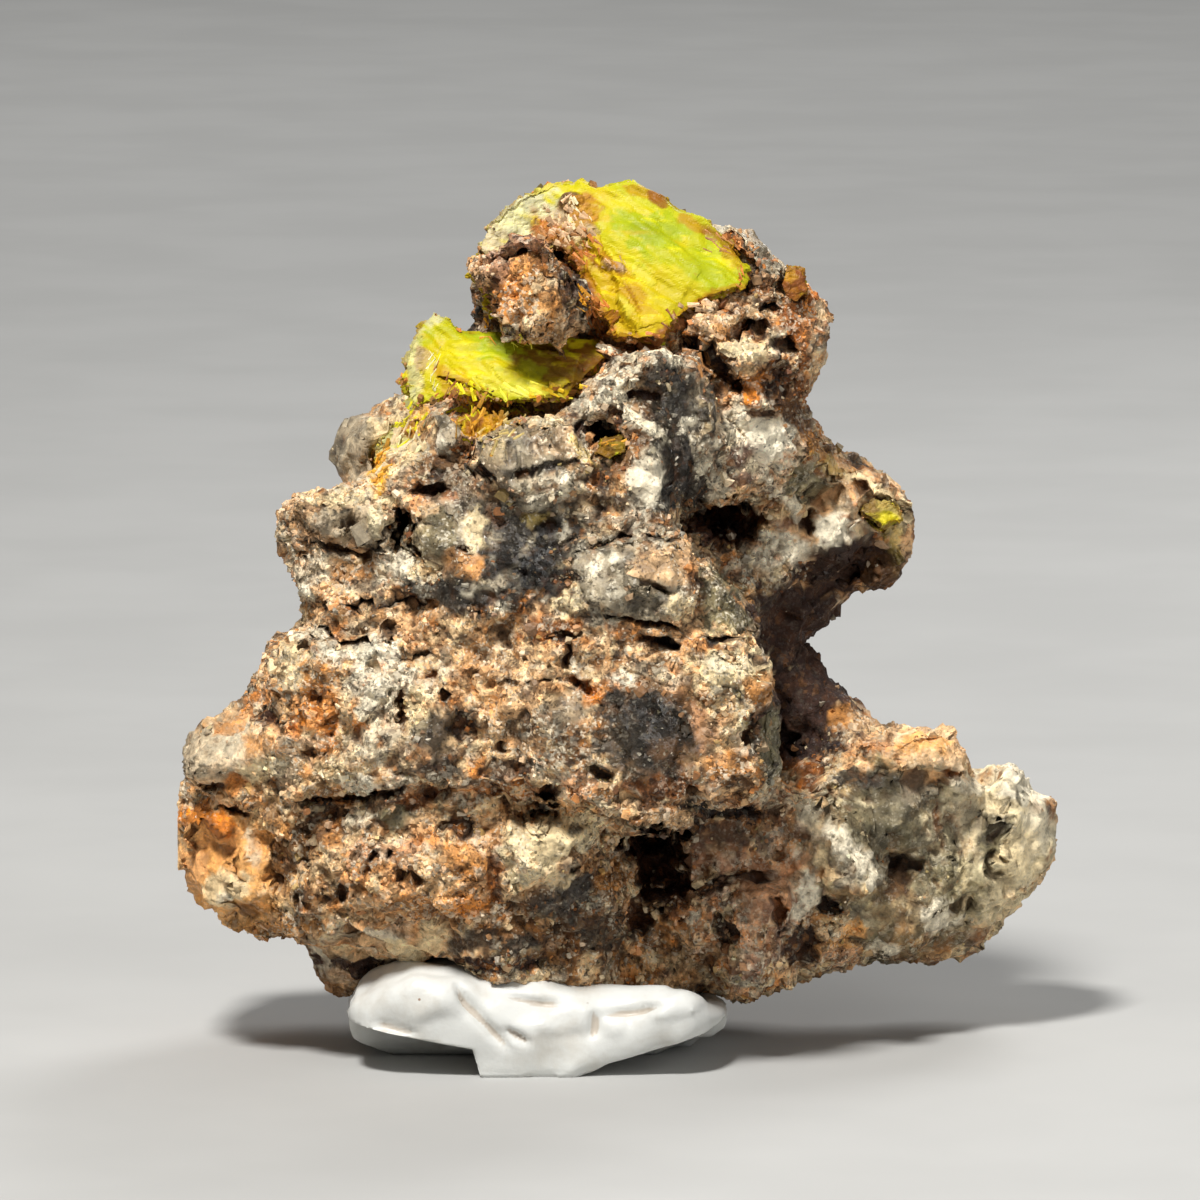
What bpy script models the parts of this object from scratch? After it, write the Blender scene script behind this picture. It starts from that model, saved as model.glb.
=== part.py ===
"""Uranocircite specimen: yellow crystal books on a crumbly quartz matrix, stood upright on a pad of putty.

Metres, +Z up. The origin is the centre of the putty's foot, and the showing side faces -Y.

The matrix grew as one piece. It is blocked out from named masses, each a front outline with a depth, which a
voxel remesh joins. Pits are cut, the surface is chipped into facets and roughened, and the mesh is thinned.
Every crystal book and the putty then get a socket in it, a little larger than themselves.
"""

import math
import random
from collections import namedtuple

import bmesh
import bpy
from mathutils import Euler, Vector, kdtree, noise

MM = 0.001

# Outlines are drawn as the specimen is shown, from this far above the horizon, in millimetres across and up.
SIGHT_SLOPE = math.tan(math.radians(8))

SEAT_GAP = 0.15  # millimetres between the matrix and each piece that sits in it
UNION_VOXEL = 0.30 * MM
FACET_SPACING = 1.2 * MM
MATRIX_TRIANGLES = 7400
PUTTY_TRIANGLES = 900  # before the foot is cut flat
FOOT_CENTRE_X, FOOT_CENTRE_Y = -1.0, 0.4  # of the putty, in the outlines' millimetres

# name; outline (across, up); depth of the front and the back, more being further away;
# inset, the share by which the front and back faces are smaller; lean, how the front face tilts across and up.
Block = namedtuple("Block", "name outline front back inset lean")

TOP_BLOCKS = [
    Block(
        "crest",
        [(-3.0, 31.6), (-2.3, 33.3), (-0.6, 34.4), (2.4, 34.4), (4.6, 33.4), (6.6, 32.7), (8.3, 31.2), (9.0, 28.2),
         (6.0, 26.4), (1.5, 26.6), (-3.4, 27.2), (-4.6, 29.0)],
        -1.6, 5.2, 0.24, (0.0, 0.25),
    ),
    Block(
        "knob",
        [(-4.0, 31.0), (-3.8, 31.9), (-2.9, 32.4), (-2.8, 33.2), (-1.7, 33.4), (-0.6, 33.3), (0.3, 31.9), (1.3, 30.5),
         (1.5, 29.4), (0.6, 28.8), (-0.5, 28.8), (-1.3, 28.2), (-2.4, 28.8), (-3.0, 29.7), (-3.7, 30.3)],
        -6.4, -0.6, 0.20, (0.10, 0.12),
    ),
    Block(
        "right_shoulder",
        [(5.2, 32.6), (5.9, 33.6), (6.2, 33.9), (6.8, 33.3), (7.4, 33.2), (8.3, 32.2), (9.1, 31.4), (9.2, 30.2),
         (7.6, 30.2), (6.4, 31.4)],
        -2.4, 3.4, 0.16, (0.2, 0.2),
    ),
    Block(
        "rusty_cluster",
        [(5.0, 30.2), (7.6, 30.6), (8.6, 30.4), (9.3, 31.2), (9.9, 31.1), (10.4, 30.4), (10.1, 29.6), (10.3, 28.9),
         (10.6, 28.1), (10.0, 27.6), (9.8, 26.6), (8.8, 25.8), (7.4, 26.4), (6.2, 27.4), (4.6, 28.6)],
        -3.0, 4.4, 0.22, (0.28, 0.0),
    ),
    Block(
        "left_dark_grain",
        [(-4.4, 29.0), (-4.0, 30.0), (-3.2, 30.3), (-2.4, 29.6), (-2.6, 28.4), (-3.8, 28.2)],
        -1.0, 3.0, 0.3, (0.0, 0.0),
    ),
    Block(
        "left_back_lobe",
        [(-9.4, 24.2), (-9.0, 25.0), (-8.1, 25.6), (-7.8, 26.4), (-6.8, 26.4), (-5.4, 26.9), (-3.6, 26.4), (-3.8, 23.4),
         (-6.2, 22.6), (-8.0, 22.8), (-8.9, 23.2)],
        2.6, 8.2, 0.30, (0.0, 0.0),
    ),
]

MIDDLE_BLOCKS = [
    Block(
        "left_shoulder",
        [(-11.2, 21.9), (-10.8, 22.4), (-10.0, 22.7), (-8.3, 22.4), (-7.0, 23.7), (-5.6, 24.7), (-4.7, 25.8),
         (-3.2, 26.2), (-2.4, 24.0), (-2.6, 17.2), (-5.4, 16.8), (-8.6, 16.9), (-9.6, 17.5), (-9.9, 18.3),
         (-10.5, 18.7), (-10.3, 19.6), (-10.8, 20.6)],
        -5.6, 3.6, 0.12, (-0.22, 0.10),
    ),
    Block(
        "grey_boulder",
        [(-3.2, 23.9), (-2.6, 24.7), (-1.4, 25.6), (-0.7, 26.1), (0.0, 25.8), (0.6, 25.0), (1.2, 23.9), (1.5, 22.6),
         (0.8, 21.9), (-1.2, 21.6), (-3.0, 22.4)],
        -8.2, -1.0, 0.24, (0.16, 0.24),
    ),
    Block(
        "centre_ridge",
        [(0.4, 26.4), (1.4, 27.3), (2.5, 28.0), (3.7, 28.5), (4.5, 28.3), (5.2, 27.4), (6.1, 26.5), (6.3, 25.2),
         (5.6, 23.4), (5.0, 22.2), (4.2, 21.0), (0.6, 21.2), (-0.4, 23.4)],
        -5.6, 2.0, 0.20, (0.30, 0.10),
    ),
    Block(
        "grey_face",
        [(-4.0, 23.4), (-1.0, 23.8), (2.4, 23.4), (4.6, 22.2), (4.9, 20.8), (5.9, 19.8), (5.2, 18.7), (5.4, 17.9),
         (4.9, 17.2), (2.8, 17.5), (1.2, 18.6), (-1.4, 17.6), (-4.6, 17.0), (-4.8, 20.2)],
        -7.6, 2.6, 0.14, (0.02, 0.16),
    ),
    Block(
        "green_flank",
        [(5.0, 20.4), (5.9, 19.8), (6.8, 19.0), (7.5, 18.0), (7.8, 17.0), (7.2, 16.4), (5.0, 16.6), (3.8, 18.6)],
        -4.6, 2.0, 0.18, (0.45, 0.1),
    ),
    Block(
        "heart",
        [(-8.6, 21.6), (-4.6, 26.0), (1.0, 28.2), (6.2, 27.4), (9.2, 26.4), (9.4, 21.0), (7.4, 15.0), (7.0, 9.0),
         (3.0, 5.0), (-6.0, 4.6), (-9.4, 8.0), (-9.8, 14.0)],
        -1.4, 6.8, 0.16, (0.10, 0.05),
    ),
    Block(
        "pale_flank",
        [(5.0, 25.8), (6.6, 26.9), (7.8, 26.2), (9.0, 26.4), (9.8, 25.8), (10.6, 24.6), (10.2, 23.2), (8.6, 22.4),
         (7.4, 22.0), (6.4, 21.7), (5.6, 21.8), (5.0, 23.6)],
        -2.6, 4.6, 0.20, (0.30, 0.10),
    ),
    Block(
        "right_lobe",
        [(8.6, 25.4), (10.4, 25.0), (11.3, 24.3), (12.4, 23.7), (13.4, 23.0), (14.2, 22.2), (14.1, 21.4), (14.4, 20.6),
         (14.0, 19.5), (13.2, 18.8), (12.2, 18.3), (11.2, 18.7), (10.4, 19.8), (9.4, 20.2), (8.2, 21.0), (7.8, 23.4)],
        1.8, 8.4, 0.24, (0.12, 0.0),
    ),
    Block(
        "lobe_shelf",
        [(7.6, 20.6), (9.0, 20.9), (10.0, 20.6), (9.9, 19.6), (9.2, 19.0), (8.0, 19.0), (7.0, 19.4)],
        0.6, 6.0, 0.2, (0.1, 0.2),
    ),
    Block(
        "back_column",
        [(7.4, 19.8), (10.4, 19.2), (11.1, 18.2), (10.7, 17.3), (10.0, 17.0), (9.5, 16.8), (10.3, 16.2), (10.4, 15.2),
         (10.7, 14.5), (11.5, 14.7), (12.0, 13.8), (12.6, 12.8), (10.6, 10.4), (7.2, 10.2), (6.6, 14.8)],
        2.4, 8.6, 0.16, (-0.10, 0.0),
    ),
]

LOWER_BLOCKS = [
    Block(
        "front_ledge",
        [(-0.8, 17.4), (1.4, 18.2), (3.2, 17.1), (5.0, 16.9), (6.3, 16.7), (7.5, 16.2), (8.3, 15.5), (8.6, 14.4),
         (8.6, 11.6), (8.2, 10.8), (6.8, 10.5), (5.6, 10.0), (4.6, 9.1), (3.8, 8.5), (2.9, 9.2), (1.6, 9.8),
         (-1.0, 10.4), (-1.6, 14.0)],
        -8.8, 0.6, 0.10, (0.06, 0.08),
    ),
    Block(
        "mid_band",
        [(-8.6, 16.8), (-5.6, 16.8), (-2.0, 17.6), (1.0, 18.0), (2.2, 15.0), (1.0, 10.2), (-4.4, 10.8), (-7.4, 11.0),
         (-9.0, 11.8)],
        -7.6, 1.6, 0.10, (-0.08, 0.06),
    ),
    Block(
        "left_bastion",
        [(-11.4, 16.3), (-10.7, 16.8), (-10.0, 17.2), (-8.2, 16.7), (-5.4, 16.5), (-4.6, 13.6), (-5.8, 11.0),
         (-8.6, 10.5), (-11.6, 9.6), (-12.2, 12.0), (-11.5, 14.8)],
        -6.2, 3.2, 0.12, (-0.25, 0.12),
    ),
    Block(
        "left_wing",
        [(-15.2, 12.2), (-14.5, 13.0), (-13.2, 13.8), (-12.2, 14.5), (-11.2, 15.2), (-9.4, 14.0), (-9.4, 10.0),
         (-12.6, 9.4), (-14.7, 10.4), (-15.0, 11.4)],
        -3.4, 5.2, 0.20, (-0.30, 0.15),
    ),
    Block(
        "orange_lump",
        [(-15.2, 9.3), (-14.4, 10.2), (-12.6, 9.9), (-10.2, 9.6), (-9.0, 7.6), (-9.4, 5.0), (-11.2, 4.8), (-13.0, 5.2),
         (-14.2, 6.2), (-15.0, 7.4)],
        -3.0, 5.4, 0.26, (-0.20, -0.12),
    ),
    Block(
        "lower_left",
        [(-10.8, 9.8), (-7.4, 10.6), (-4.0, 10.8), (-1.2, 10.4), (-1.6, 6.4), (-3.2, 4.6), (-5.2, 3.9), (-7.4, 4.3),
         (-9.6, 4.6), (-11.2, 5.4)],
        -5.4, 3.6, 0.12, (-0.10, -0.20),
    ),
    Block(
        "cream_knob",
        [(-2.2, 7.4), (-2.1, 8.6), (-1.4, 9.5), (0.2, 10.0), (1.3, 9.6), (1.7, 8.9), (1.3, 8.0), (0.6, 7.0), (0.2, 6.0),
         (-1.3, 5.8), (-2.1, 6.4)],
        -7.0, -1.0, 0.24, (0.10, 0.10),
    ),
    Block(
        "lower_centre",
        [(-3.6, 7.4), (0.8, 8.4), (2.0, 7.9), (2.7, 7.2), (2.6, 6.0), (2.2, 4.8), (2.6, 3.4), (0.0, 2.9), (-4.4, 3.6)],
        -5.0, 3.0, 0.14, (0.20, -0.20),
    ),
    Block(
        "arm_root",
        [(4.8, 9.8), (7.8, 10.6), (9.2, 11.0), (11.0, 11.6), (12.4, 9.6), (12.6, 6.0), (11.4, 3.5), (9.2, 3.0),
         (7.6, 2.3), (5.0, 2.0), (2.4, 2.6), (2.6, 5.6), (4.8, 7.0)],
        -1.6, 7.4, 0.12, (0.10, -0.08),
    ),
    Block(
        "arm_shoulder",
        [(9.6, 11.4), (11.0, 12.9), (12.5, 13.1), (14.5, 13.3), (15.4, 12.7), (16.3, 11.7), (17.0, 11.2), (16.6, 6.4),
         (14.6, 4.1), (11.4, 4.0), (9.6, 6.0)],
        1.2, 9.2, 0.20, (0.06, 0.15),
    ),
    Block(
        "arm_tip",
        [(15.0, 11.6), (17.2, 11.3), (18.4, 11.9), (19.2, 11.8), (20.0, 10.9), (20.4, 9.8), (20.3, 8.2), (19.9, 7.0),
         (19.0, 5.9), (17.8, 4.9), (16.4, 4.2), (14.2, 3.9), (13.4, 6.8)],
        2.8, 9.6, 0.26, (0.15, -0.10),
    ),
    Block(
        "arm_knuckle",
        [(10.0, 7.0), (10.4, 9.0), (11.2, 9.5), (12.0, 8.6), (12.9, 7.0), (12.4, 6.3), (10.8, 6.0)],
        -2.6, 3.0, 0.3, (0.10, -0.15),
    ),
    Block(
        "brown_knuckles",
        [(5.2, 6.6), (7.0, 7.2), (9.4, 7.4), (9.8, 6.2), (8.6, 3.6), (7.2, 2.8), (6.0, 4.4), (4.8, 5.6)],
        -3.4, 3.0, 0.24, (0.10, -0.10),
    ),
    Block(
        "keel",
        [(-9.6, 4.8), (-10.3, 4.1), (-9.6, 2.9), (-8.2, 2.1), (-5.0, 1.8), (0.0, 1.5), (4.4, 1.1), (6.6, 1.6),
         (9.0, 3.1), (11.4, 3.5), (8.0, 6.4), (-6.0, 6.6)],
        -1.6, 5.2, 0.14, (0.0, -0.35),
    ),
]

BACK_BLOCKS = [
    Block(
        "back_hump",
        [(-6.4, 20.4), (-2.6, 24.4), (3.2, 24.8), (6.6, 20.6), (7.0, 14.0), (3.0, 10.0), (-3.4, 9.6), (-7.6, 13.4)],
        3.0, 10.4, 0.40, (0.0, 0.0),
    ),
    Block(
        "back_crest",
        [(-2.0, 30.8), (1.0, 32.8), (5.0, 31.8), (7.4, 28.4), (4.8, 23.6), (-0.8, 23.2), (-3.8, 26.4)],
        2.0, 7.6, 0.36, (0.0, 0.0),
    ),
    Block(
        "back_neck",
        [(-4.6, 22.6), (-3.4, 26.0), (3.6, 26.4), (6.6, 24.0), (4.8, 20.4), (-2.6, 19.8)],
        2.6, 9.2, 0.34, (0.0, 0.0),
    ),
    Block(
        "back_left_foot",
        [(-12.0, 8.6), (-10.6, 12.6), (-7.4, 16.2), (-3.4, 15.6), (-2.0, 9.8), (-3.6, 4.6), (-9.8, 5.2)],
        2.4, 9.8, 0.38, (0.0, 0.0),
    ),
    Block(
        "back_middle_foot",
        [(-4.8, 9.2), (-2.6, 13.2), (2.4, 12.0), (4.6, 8.4), (3.6, 3.8), (-3.4, 3.9)],
        3.2, 11.6, 0.34, (0.0, 0.0),
    ),
    Block(
        "back_right_foot",
        [(1.8, 9.4), (4.2, 14.8), (8.4, 14.6), (12.2, 10.6), (11.0, 5.4), (5.0, 3.8)],
        3.0, 10.6, 0.38, (0.0, 0.0),
    ),
]

# Stones that stand proud of the masses.
STONES = [
    Block(
        "ridge_cap",
        [(1.7, 27.2), (2.4, 27.9), (3.2, 28.1), (3.9, 28.6), (4.5, 28.4), (5.0, 27.6), (4.4, 27.1), (3.0, 27.2),
         (2.2, 26.8)],
        -6.6, -2.6, 0.22, (0.10, 0.20),
    ),
    Block(
        "frosted_grain",
        [(0.3, 26.2), (1.2, 27.0), (2.0, 27.1), (2.7, 26.5), (2.5, 25.8), (1.4, 25.4), (0.5, 25.5)],
        -7.0, -3.6, 0.24, (0.05, 0.20),
    ),
    Block(
        "white_vein",
        [(2.5, 25.6), (3.2, 25.7), (4.2, 24.5), (4.5, 23.4), (4.4, 21.8), (3.8, 21.1), (1.8, 21.3), (2.4, 22.6),
         (2.1, 24.2)],
        -7.4, -3.0, 0.16, (0.12, 0.05),
    ),
    Block(
        "ridge_flank",
        [(4.4, 28.2), (5.4, 27.4), (6.2, 26.3), (6.4, 24.8), (5.3, 22.3), (4.6, 22.0), (4.2, 24.6)],
        -5.6, -1.0, 0.18, (0.35, 0.05),
    ),
    Block(
        "grey_slab",
        [(0.6, 20.6), (2.8, 20.9), (4.6, 20.6), (5.0, 20.1), (6.0, 19.9), (6.1, 19.2), (5.0, 18.9), (5.3, 17.9),
         (5.1, 17.0), (3.6, 17.1), (2.4, 17.5), (1.2, 18.1), (0.2, 19.2)],
        -8.9, -3.0, 0.10, (0.04, 0.10),
    ),
    Block(
        "green_bulge",
        [(5.0, 19.3), (6.0, 19.2), (6.9, 18.7), (7.4, 18.0), (7.9, 17.3), (7.8, 16.6), (6.9, 16.4), (5.5, 16.8)],
        -6.6, -2.0, 0.34, (0.20, 0.10),
    ),
    Block(
        "shoulder_prow",
        [(-11.2, 21.8), (-10.8, 22.4), (-10.1, 22.8), (-8.4, 22.6), (-7.2, 22.2), (-7.0, 21.0), (-8.0, 20.4),
         (-10.4, 20.8)],
        -6.4, -1.6, 0.12, (-0.30, 0.18),
    ),
    Block(
        "shoulder_foot",
        [(-10.5, 19.4), (-9.6, 20.0), (-8.2, 19.6), (-8.0, 18.3), (-9.3, 17.9), (-10.5, 18.5)],
        -5.6, -1.4, 0.20, (-0.30, 0.0),
    ),
    Block(
        "saddle_stones",
        [(-7.3, 22.6), (-6.6, 23.4), (-5.6, 24.2), (-4.7, 24.3), (-3.9, 23.4), (-4.3, 22.3), (-5.8, 22.1)],
        -6.6, -2.4, 0.20, (-0.15, 0.30),
    ),
    Block(
        "pit_rim",
        [(-5.4, 21.9), (-4.3, 22.0), (-3.5, 21.0), (-3.6, 20.0), (-4.8, 20.0), (-5.3, 20.8)],
        -7.6, -3.2, 0.22, (-0.10, 0.10),
    ),
    Block(
        "white_grain",
        [(-7.1, 20.3), (-6.4, 20.8), (-5.4, 20.0), (-4.8, 19.2), (-5.6, 18.6), (-6.8, 18.9)],
        -6.9, -3.0, 0.22, (-0.20, 0.20),
    ),
    Block(
        "saddle_grain",
        [(-5.1, 24.9), (-4.8, 25.8), (-4.2, 26.0), (-3.8, 25.4), (-3.9, 24.6), (-4.5, 24.3)],
        -6.4, -3.0, 0.22, (0.0, 0.20),
    ),
    Block(
        "ledge_lip",
        [(5.4, 16.6), (6.3, 16.8), (7.6, 16.3), (8.4, 15.5), (8.5, 14.7), (7.6, 14.3), (6.2, 14.6), (5.2, 15.4)],
        -9.2, -3.4, 0.12, (0.14, 0.20),
    ),
    Block(
        "ledge_quartz",
        [(1.8, 14.2), (3.0, 15.1), (4.6, 14.8), (5.4, 13.4), (5.0, 12.0), (3.4, 11.6), (2.2, 12.4)],
        -9.3, -4.0, 0.26, (0.0, 0.05),
    ),
    Block(
        "bastion_cap",
        [(-11.2, 16.2), (-10.6, 16.8), (-8.6, 16.7), (-6.8, 16.5), (-5.6, 15.9), (-7.0, 15.0), (-9.6, 15.0),
         (-11.0, 15.2)],
        -7.0, -2.0, 0.14, (-0.25, 0.20),
    ),
    Block(
        "bastion_boss",
        [(-8.8, 13.4), (-6.9, 13.8), (-5.6, 12.6), (-5.8, 11.2), (-7.6, 10.9), (-9.0, 11.6)],
        -7.6, -3.0, 0.26, (-0.12, 0.05),
    ),
    Block(
        "wing_wedge",
        [(-15.2, 12.1), (-14.4, 13.0), (-12.6, 13.6), (-11.8, 12.6), (-12.8, 11.4), (-14.7, 11.3)],
        -4.6, 0.6, 0.20, (-0.30, 0.35),
    ),
    Block(
        "tucked_pebble",
        [(-8.2, 10.0), (-7.4, 10.5), (-6.1, 10.4), (-5.6, 9.8), (-6.4, 9.2), (-7.8, 9.3)],
        -6.9, -3.0, 0.30, (0.0, 0.15),
    ),
    Block(
        "lower_cushion",
        [(-9.0, 8.4), (-7.2, 9.2), (-5.2, 8.8), (-3.4, 9.4), (-2.4, 8.0), (-3.0, 6.2), (-5.6, 5.6), (-8.4, 6.0)],
        -6.7, -1.0, 0.22, (-0.06, -0.10),
    ),
    Block(
        "pale_rim",
        [(-8.2, 5.3), (-6.6, 5.7), (-4.8, 5.5), (-4.4, 4.6), (-6.0, 3.8), (-7.4, 4.1)],
        -5.0, -0.6, 0.26, (0.0, -0.20),
    ),
    Block(
        "lobe_crest",
        [(9.6, 24.6), (10.8, 24.6), (12.6, 23.6), (13.9, 22.4), (13.6, 21.4), (12.4, 21.6), (10.6, 23.0)],
        0.4, 5.0, 0.22, (0.15, 0.30),
    ),
    Block(
        "lobe_knob",
        [(9.7, 21.2), (10.4, 22.0), (11.2, 21.8), (12.0, 21.2), (11.4, 20.4), (10.4, 20.2)],
        0.2, 4.6, 0.26, (0.10, 0.10),
    ),
    Block(
        "cluster_edge",
        [(9.0, 30.9), (9.8, 31.1), (10.5, 30.2), (10.2, 29.4), (10.7, 28.1), (9.9, 27.4), (9.1, 27.8), (8.9, 29.4)],
        -2.6, 2.6, 0.20, (0.30, 0.10),
    ),
    Block(
        "cluster_core",
        [(5.0, 29.6), (6.2, 30.5), (7.6, 30.3), (6.7, 29.4), (6.7, 28.6), (8.0, 28.5), (8.3, 27.8), (6.6, 27.6),
         (5.6, 28.4)],
        -4.0, 1.0, 0.16, (0.12, 0.10),
    ),
    Block(
        "orange_grain",
        [(6.8, 27.4), (7.8, 27.6), (8.5, 26.9), (8.2, 26.1), (7.1, 26.2), (6.7, 26.7)],
        -3.4, 1.0, 0.26, (0.10, 0.10),
    ),
    Block(
        "arm_brow",
        [(11.0, 12.8), (12.4, 13.2), (14.6, 13.5), (15.8, 12.5), (16.2, 11.5), (14.0, 11.4), (11.6, 11.4)],
        0.2, 6.0, 0.18, (0.05, 0.25),
    ),
    Block(
        "arm_boss",
        [(11.4, 10.8), (13.2, 11.0), (14.6, 10.2), (14.4, 8.8), (12.8, 8.4), (11.6, 9.4)],
        0.0, 5.0, 0.28, (0.05, 0.05),
    ),
    Block(
        "red_lump",
        [(6.6, 6.8), (7.8, 7.0), (9.2, 6.8), (9.2, 5.0), (8.2, 3.8), (7.2, 4.6)],
        -4.2, 1.0, 0.26, (0.10, 0.0),
    ),
    Block(
        "root_nub",
        [(6.6, 4.1), (8.0, 4.4), (8.7, 3.7), (8.0, 2.7), (6.9, 2.8)],
        -3.4, 1.0, 0.26, (0.10, -0.10),
    ),
    Block(
        "arm_base_lump",
        [(10.0, 5.2), (11.6, 5.6), (12.4, 4.6), (11.4, 3.6), (10.0, 3.7)],
        -0.6, 4.4, 0.28, (0.10, -0.15),
    ),
]

# Hollows cut into the matrix: name; centre across, away and up; half sizes; turn about the away axis in degrees.
Pit = namedtuple("Pit", "name centre radii turn")
PITS = [
    Pit("shoulder_pit", (-6.1, -5.6, 21.2), (0.50, 2.6, 1.05), -24),
    Pit("upper_pit", (-5.05, -5.4, 22.8), (0.62, 2.2, 0.34), 20),
    Pit("almond_pit", (-6.05, -7.0, 14.0), (0.36, 1.6, 0.84), 12),
    Pit("ridge_hollow", (3.3, -6.6, 26.5), (1.35, 1.6, 0.42), 8),
    Pit("flake_hollow", (1.5, -6.2, 25.1), (0.90, 2.8, 0.72), -20),
    Pit("ridge_gap", (5.6, -4.4, 27.9), (1.30, 1.8, 0.32), -38),
    Pit("great_hollow", (6.3, -2.6, 21.2), (1.8, 4.2, 1.15), -8),
    Pit("side_cleft", (9.4, -1.6, 13.2), (0.9, 4.0, 2.5), 0),
    Pit("cluster_cave_low", (7.2, -3.4, 29.0), (0.85, 2.0, 0.42), 12),
    Pit("cluster_cave_high", (8.3, -2.4, 29.8), (0.60, 1.8, 0.50), 0),
    Pit("cluster_gap", (8.8, -1.8, 28.1), (0.40, 2.2, 1.20), 8),
    Pit("undercut_left", (-8.2, -6.4, 10.3), (2.9, 1.7, 0.42), 4),
    Pit("undercut_right", (-2.6, -7.6, 10.6), (2.8, 1.6, 0.34), 4),
    Pit("wing_groove", (-10.0, -4.0, 8.0), (0.40, 1.4, 1.5), 20),
    Pit("cave", (3.9, -4.4, 8.0), (1.30, 5.0, 1.35), 14),
    Pit("cave_floor", (4.3, -4.0, 6.3), (1.5, 2.6, 0.8), 14),
    Pit("ledge_overhang", (7.2, -5.8, 10.0), (2.2, 3.4, 0.55), 2),
    Pit("arm_hollow", (13.4, -0.2, 7.3), (1.0, 1.9, 0.75), -26),
    Pit("arm_tip_hollow", (17.3, 2.2, 8.7), (0.75, 1.4, 0.95), 0),
    Pit("arm_crack", (15.2, 1.0, 9.4), (0.24, 1.6, 0.85), -8),
    Pit("arm_seam", (7.2, -3.4, 7.0), (2.3, 1.8, 0.26), 8),
    Pit("step_crack", (-8.0, -7.0, 16.9), (2.0, 2.0, 0.16), -10),
    Pit("ledge_crack", (3.9, -8.6, 16.5), (1.4, 2.2, 0.30), -14),
    Pit("face_crevice", (0.6, -8.2, 15.9), (0.24, 1.4, 1.1), -15),
    Pit("neck_notch", (10.3, 5.0, 16.7), (1.3, 6.0, 0.36), -8),
    Pit("lobe_notch", (11.2, 5.0, 19.7), (1.6, 6.0, 0.50), 20),
    Pit("rear_pit_high", (1.6, 10.2, 18.6), (1.5, 1.5, 1.0), 20),
    Pit("rear_pit_low", (-4.6, 11.2, 9.0), (1.8, 1.6, 1.1), -15),
]

# Crystal books: each is a pile of thin plates, and each plate an outline with its own front and back.
Plate = namedtuple("Plate", "outline front back lean")
CRYSTALS = {
    "uranocircite_upper_book": [
        Plate(
            [(-0.2, 33.0), (0.1, 34.6), (0.7, 35.3), (1.5, 34.9), (3.0, 35.2), (4.0, 34.7), (4.7, 34.0), (5.8, 33.8),
             (6.8, 32.8), (7.6, 31.6), (7.3, 30.8), (5.6, 30.2), (4.4, 29.2), (4.2, 28.5), (2.2, 28.7), (1.2, 30.2)],
            -2.6, -1.2, 0.50,
        ),
        Plate(
            [(0.4, 32.4), (0.9, 34.2), (2.6, 34.6), (4.3, 33.9), (6.3, 32.6), (7.0, 31.4), (5.8, 30.6), (4.6, 29.8),
             (4.3, 28.9), (3.0, 28.6), (1.9, 29.4)],
            -3.1, -2.4, 0.50,
        ),
        Plate(
            [(1.0, 31.9), (2.2, 33.6), (4.2, 33.0), (5.8, 31.6), (5.0, 30.6), (4.2, 29.4), (3.0, 29.0), (2.0, 30.0)],
            -3.45, -2.9, 0.50,
        ),
        Plate(
            [(-3.3, 32.2), (-2.9, 33.3), (-1.9, 34.2), (-0.9, 34.9), (0.4, 35.2), (1.4, 34.6), (0.8, 33.0), (-0.8, 32.2),
             (-2.4, 31.6)],
            -1.6, 0.9, 0.35,
        ),
    ],
    "uranocircite_lower_book": [
        Plate(
            [(-6.3, 27.2), (-5.9, 28.5), (-5.5, 29.4), (-5.0, 29.9), (-4.4, 29.6), (-4.0, 29.1), (-1.6, 29.0),
             (1.4, 28.8), (2.1, 28.0), (1.0, 27.0), (0.4, 26.3), (-2.2, 26.2), (-4.4, 26.4), (-5.9, 26.0)],
            -3.6, -2.3, 0.55,
        ),
        Plate(
            [(-4.9, 27.2), (-4.4, 28.8), (-2.8, 28.9), (-0.8, 28.4), (1.0, 28.2), (0.6, 27.0), (-0.4, 26.4),
             (-2.0, 26.2), (-3.2, 26.7)],
            -4.1, -3.4, 0.55,
        ),
    ],
    "uranocircite_left_book": [
        Plate([(-7.5, 24.0), (-7.2, 24.9), (-6.5, 25.5), (-5.7, 25.4), (-5.5, 24.4), (-6.4, 23.7)], 1.0, 3.2, 0.3),
    ],
    "uranocircite_right_book": [
        Plate([(12.0, 22.0), (12.6, 22.5), (13.4, 22.3), (13.7, 21.7), (13.0, 21.3)], 0.6, 2.8, 0.2),
    ],
    "uranocircite_shoulder_book": [
        Plate([(8.7, 31.0), (9.0, 31.8), (9.6, 31.6), (9.8, 30.6), (9.4, 30.2), (9.0, 30.4)], -2.8, -0.6, 0.2),
    ],
    "uranocircite_knob_sliver": [
        Plate([(-4.1, 31.3), (-3.8, 31.5), (-3.2, 30.6), (-2.6, 29.6), (-2.9, 29.2), (-3.5, 30.1)], -3.6, -3.0, 0.1),
    ],
    "uranocircite_hollow_flake": [
        Plate([(1.4, 24.2), (1.7, 24.8), (2.4, 24.9), (2.6, 24.4), (2.0, 23.9)], -7.0, -5.8, 0.4),
    ],
    "uranocircite_ridge_book": [
        Plate([(-3.9, 24.7), (-3.9, 25.5), (-3.2, 25.8), (-2.2, 25.6), (-1.6, 25.1), (-2.2, 24.7), (-3.2, 24.3)],
              -6.0, -4.8, 0.35),
    ],
}

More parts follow.
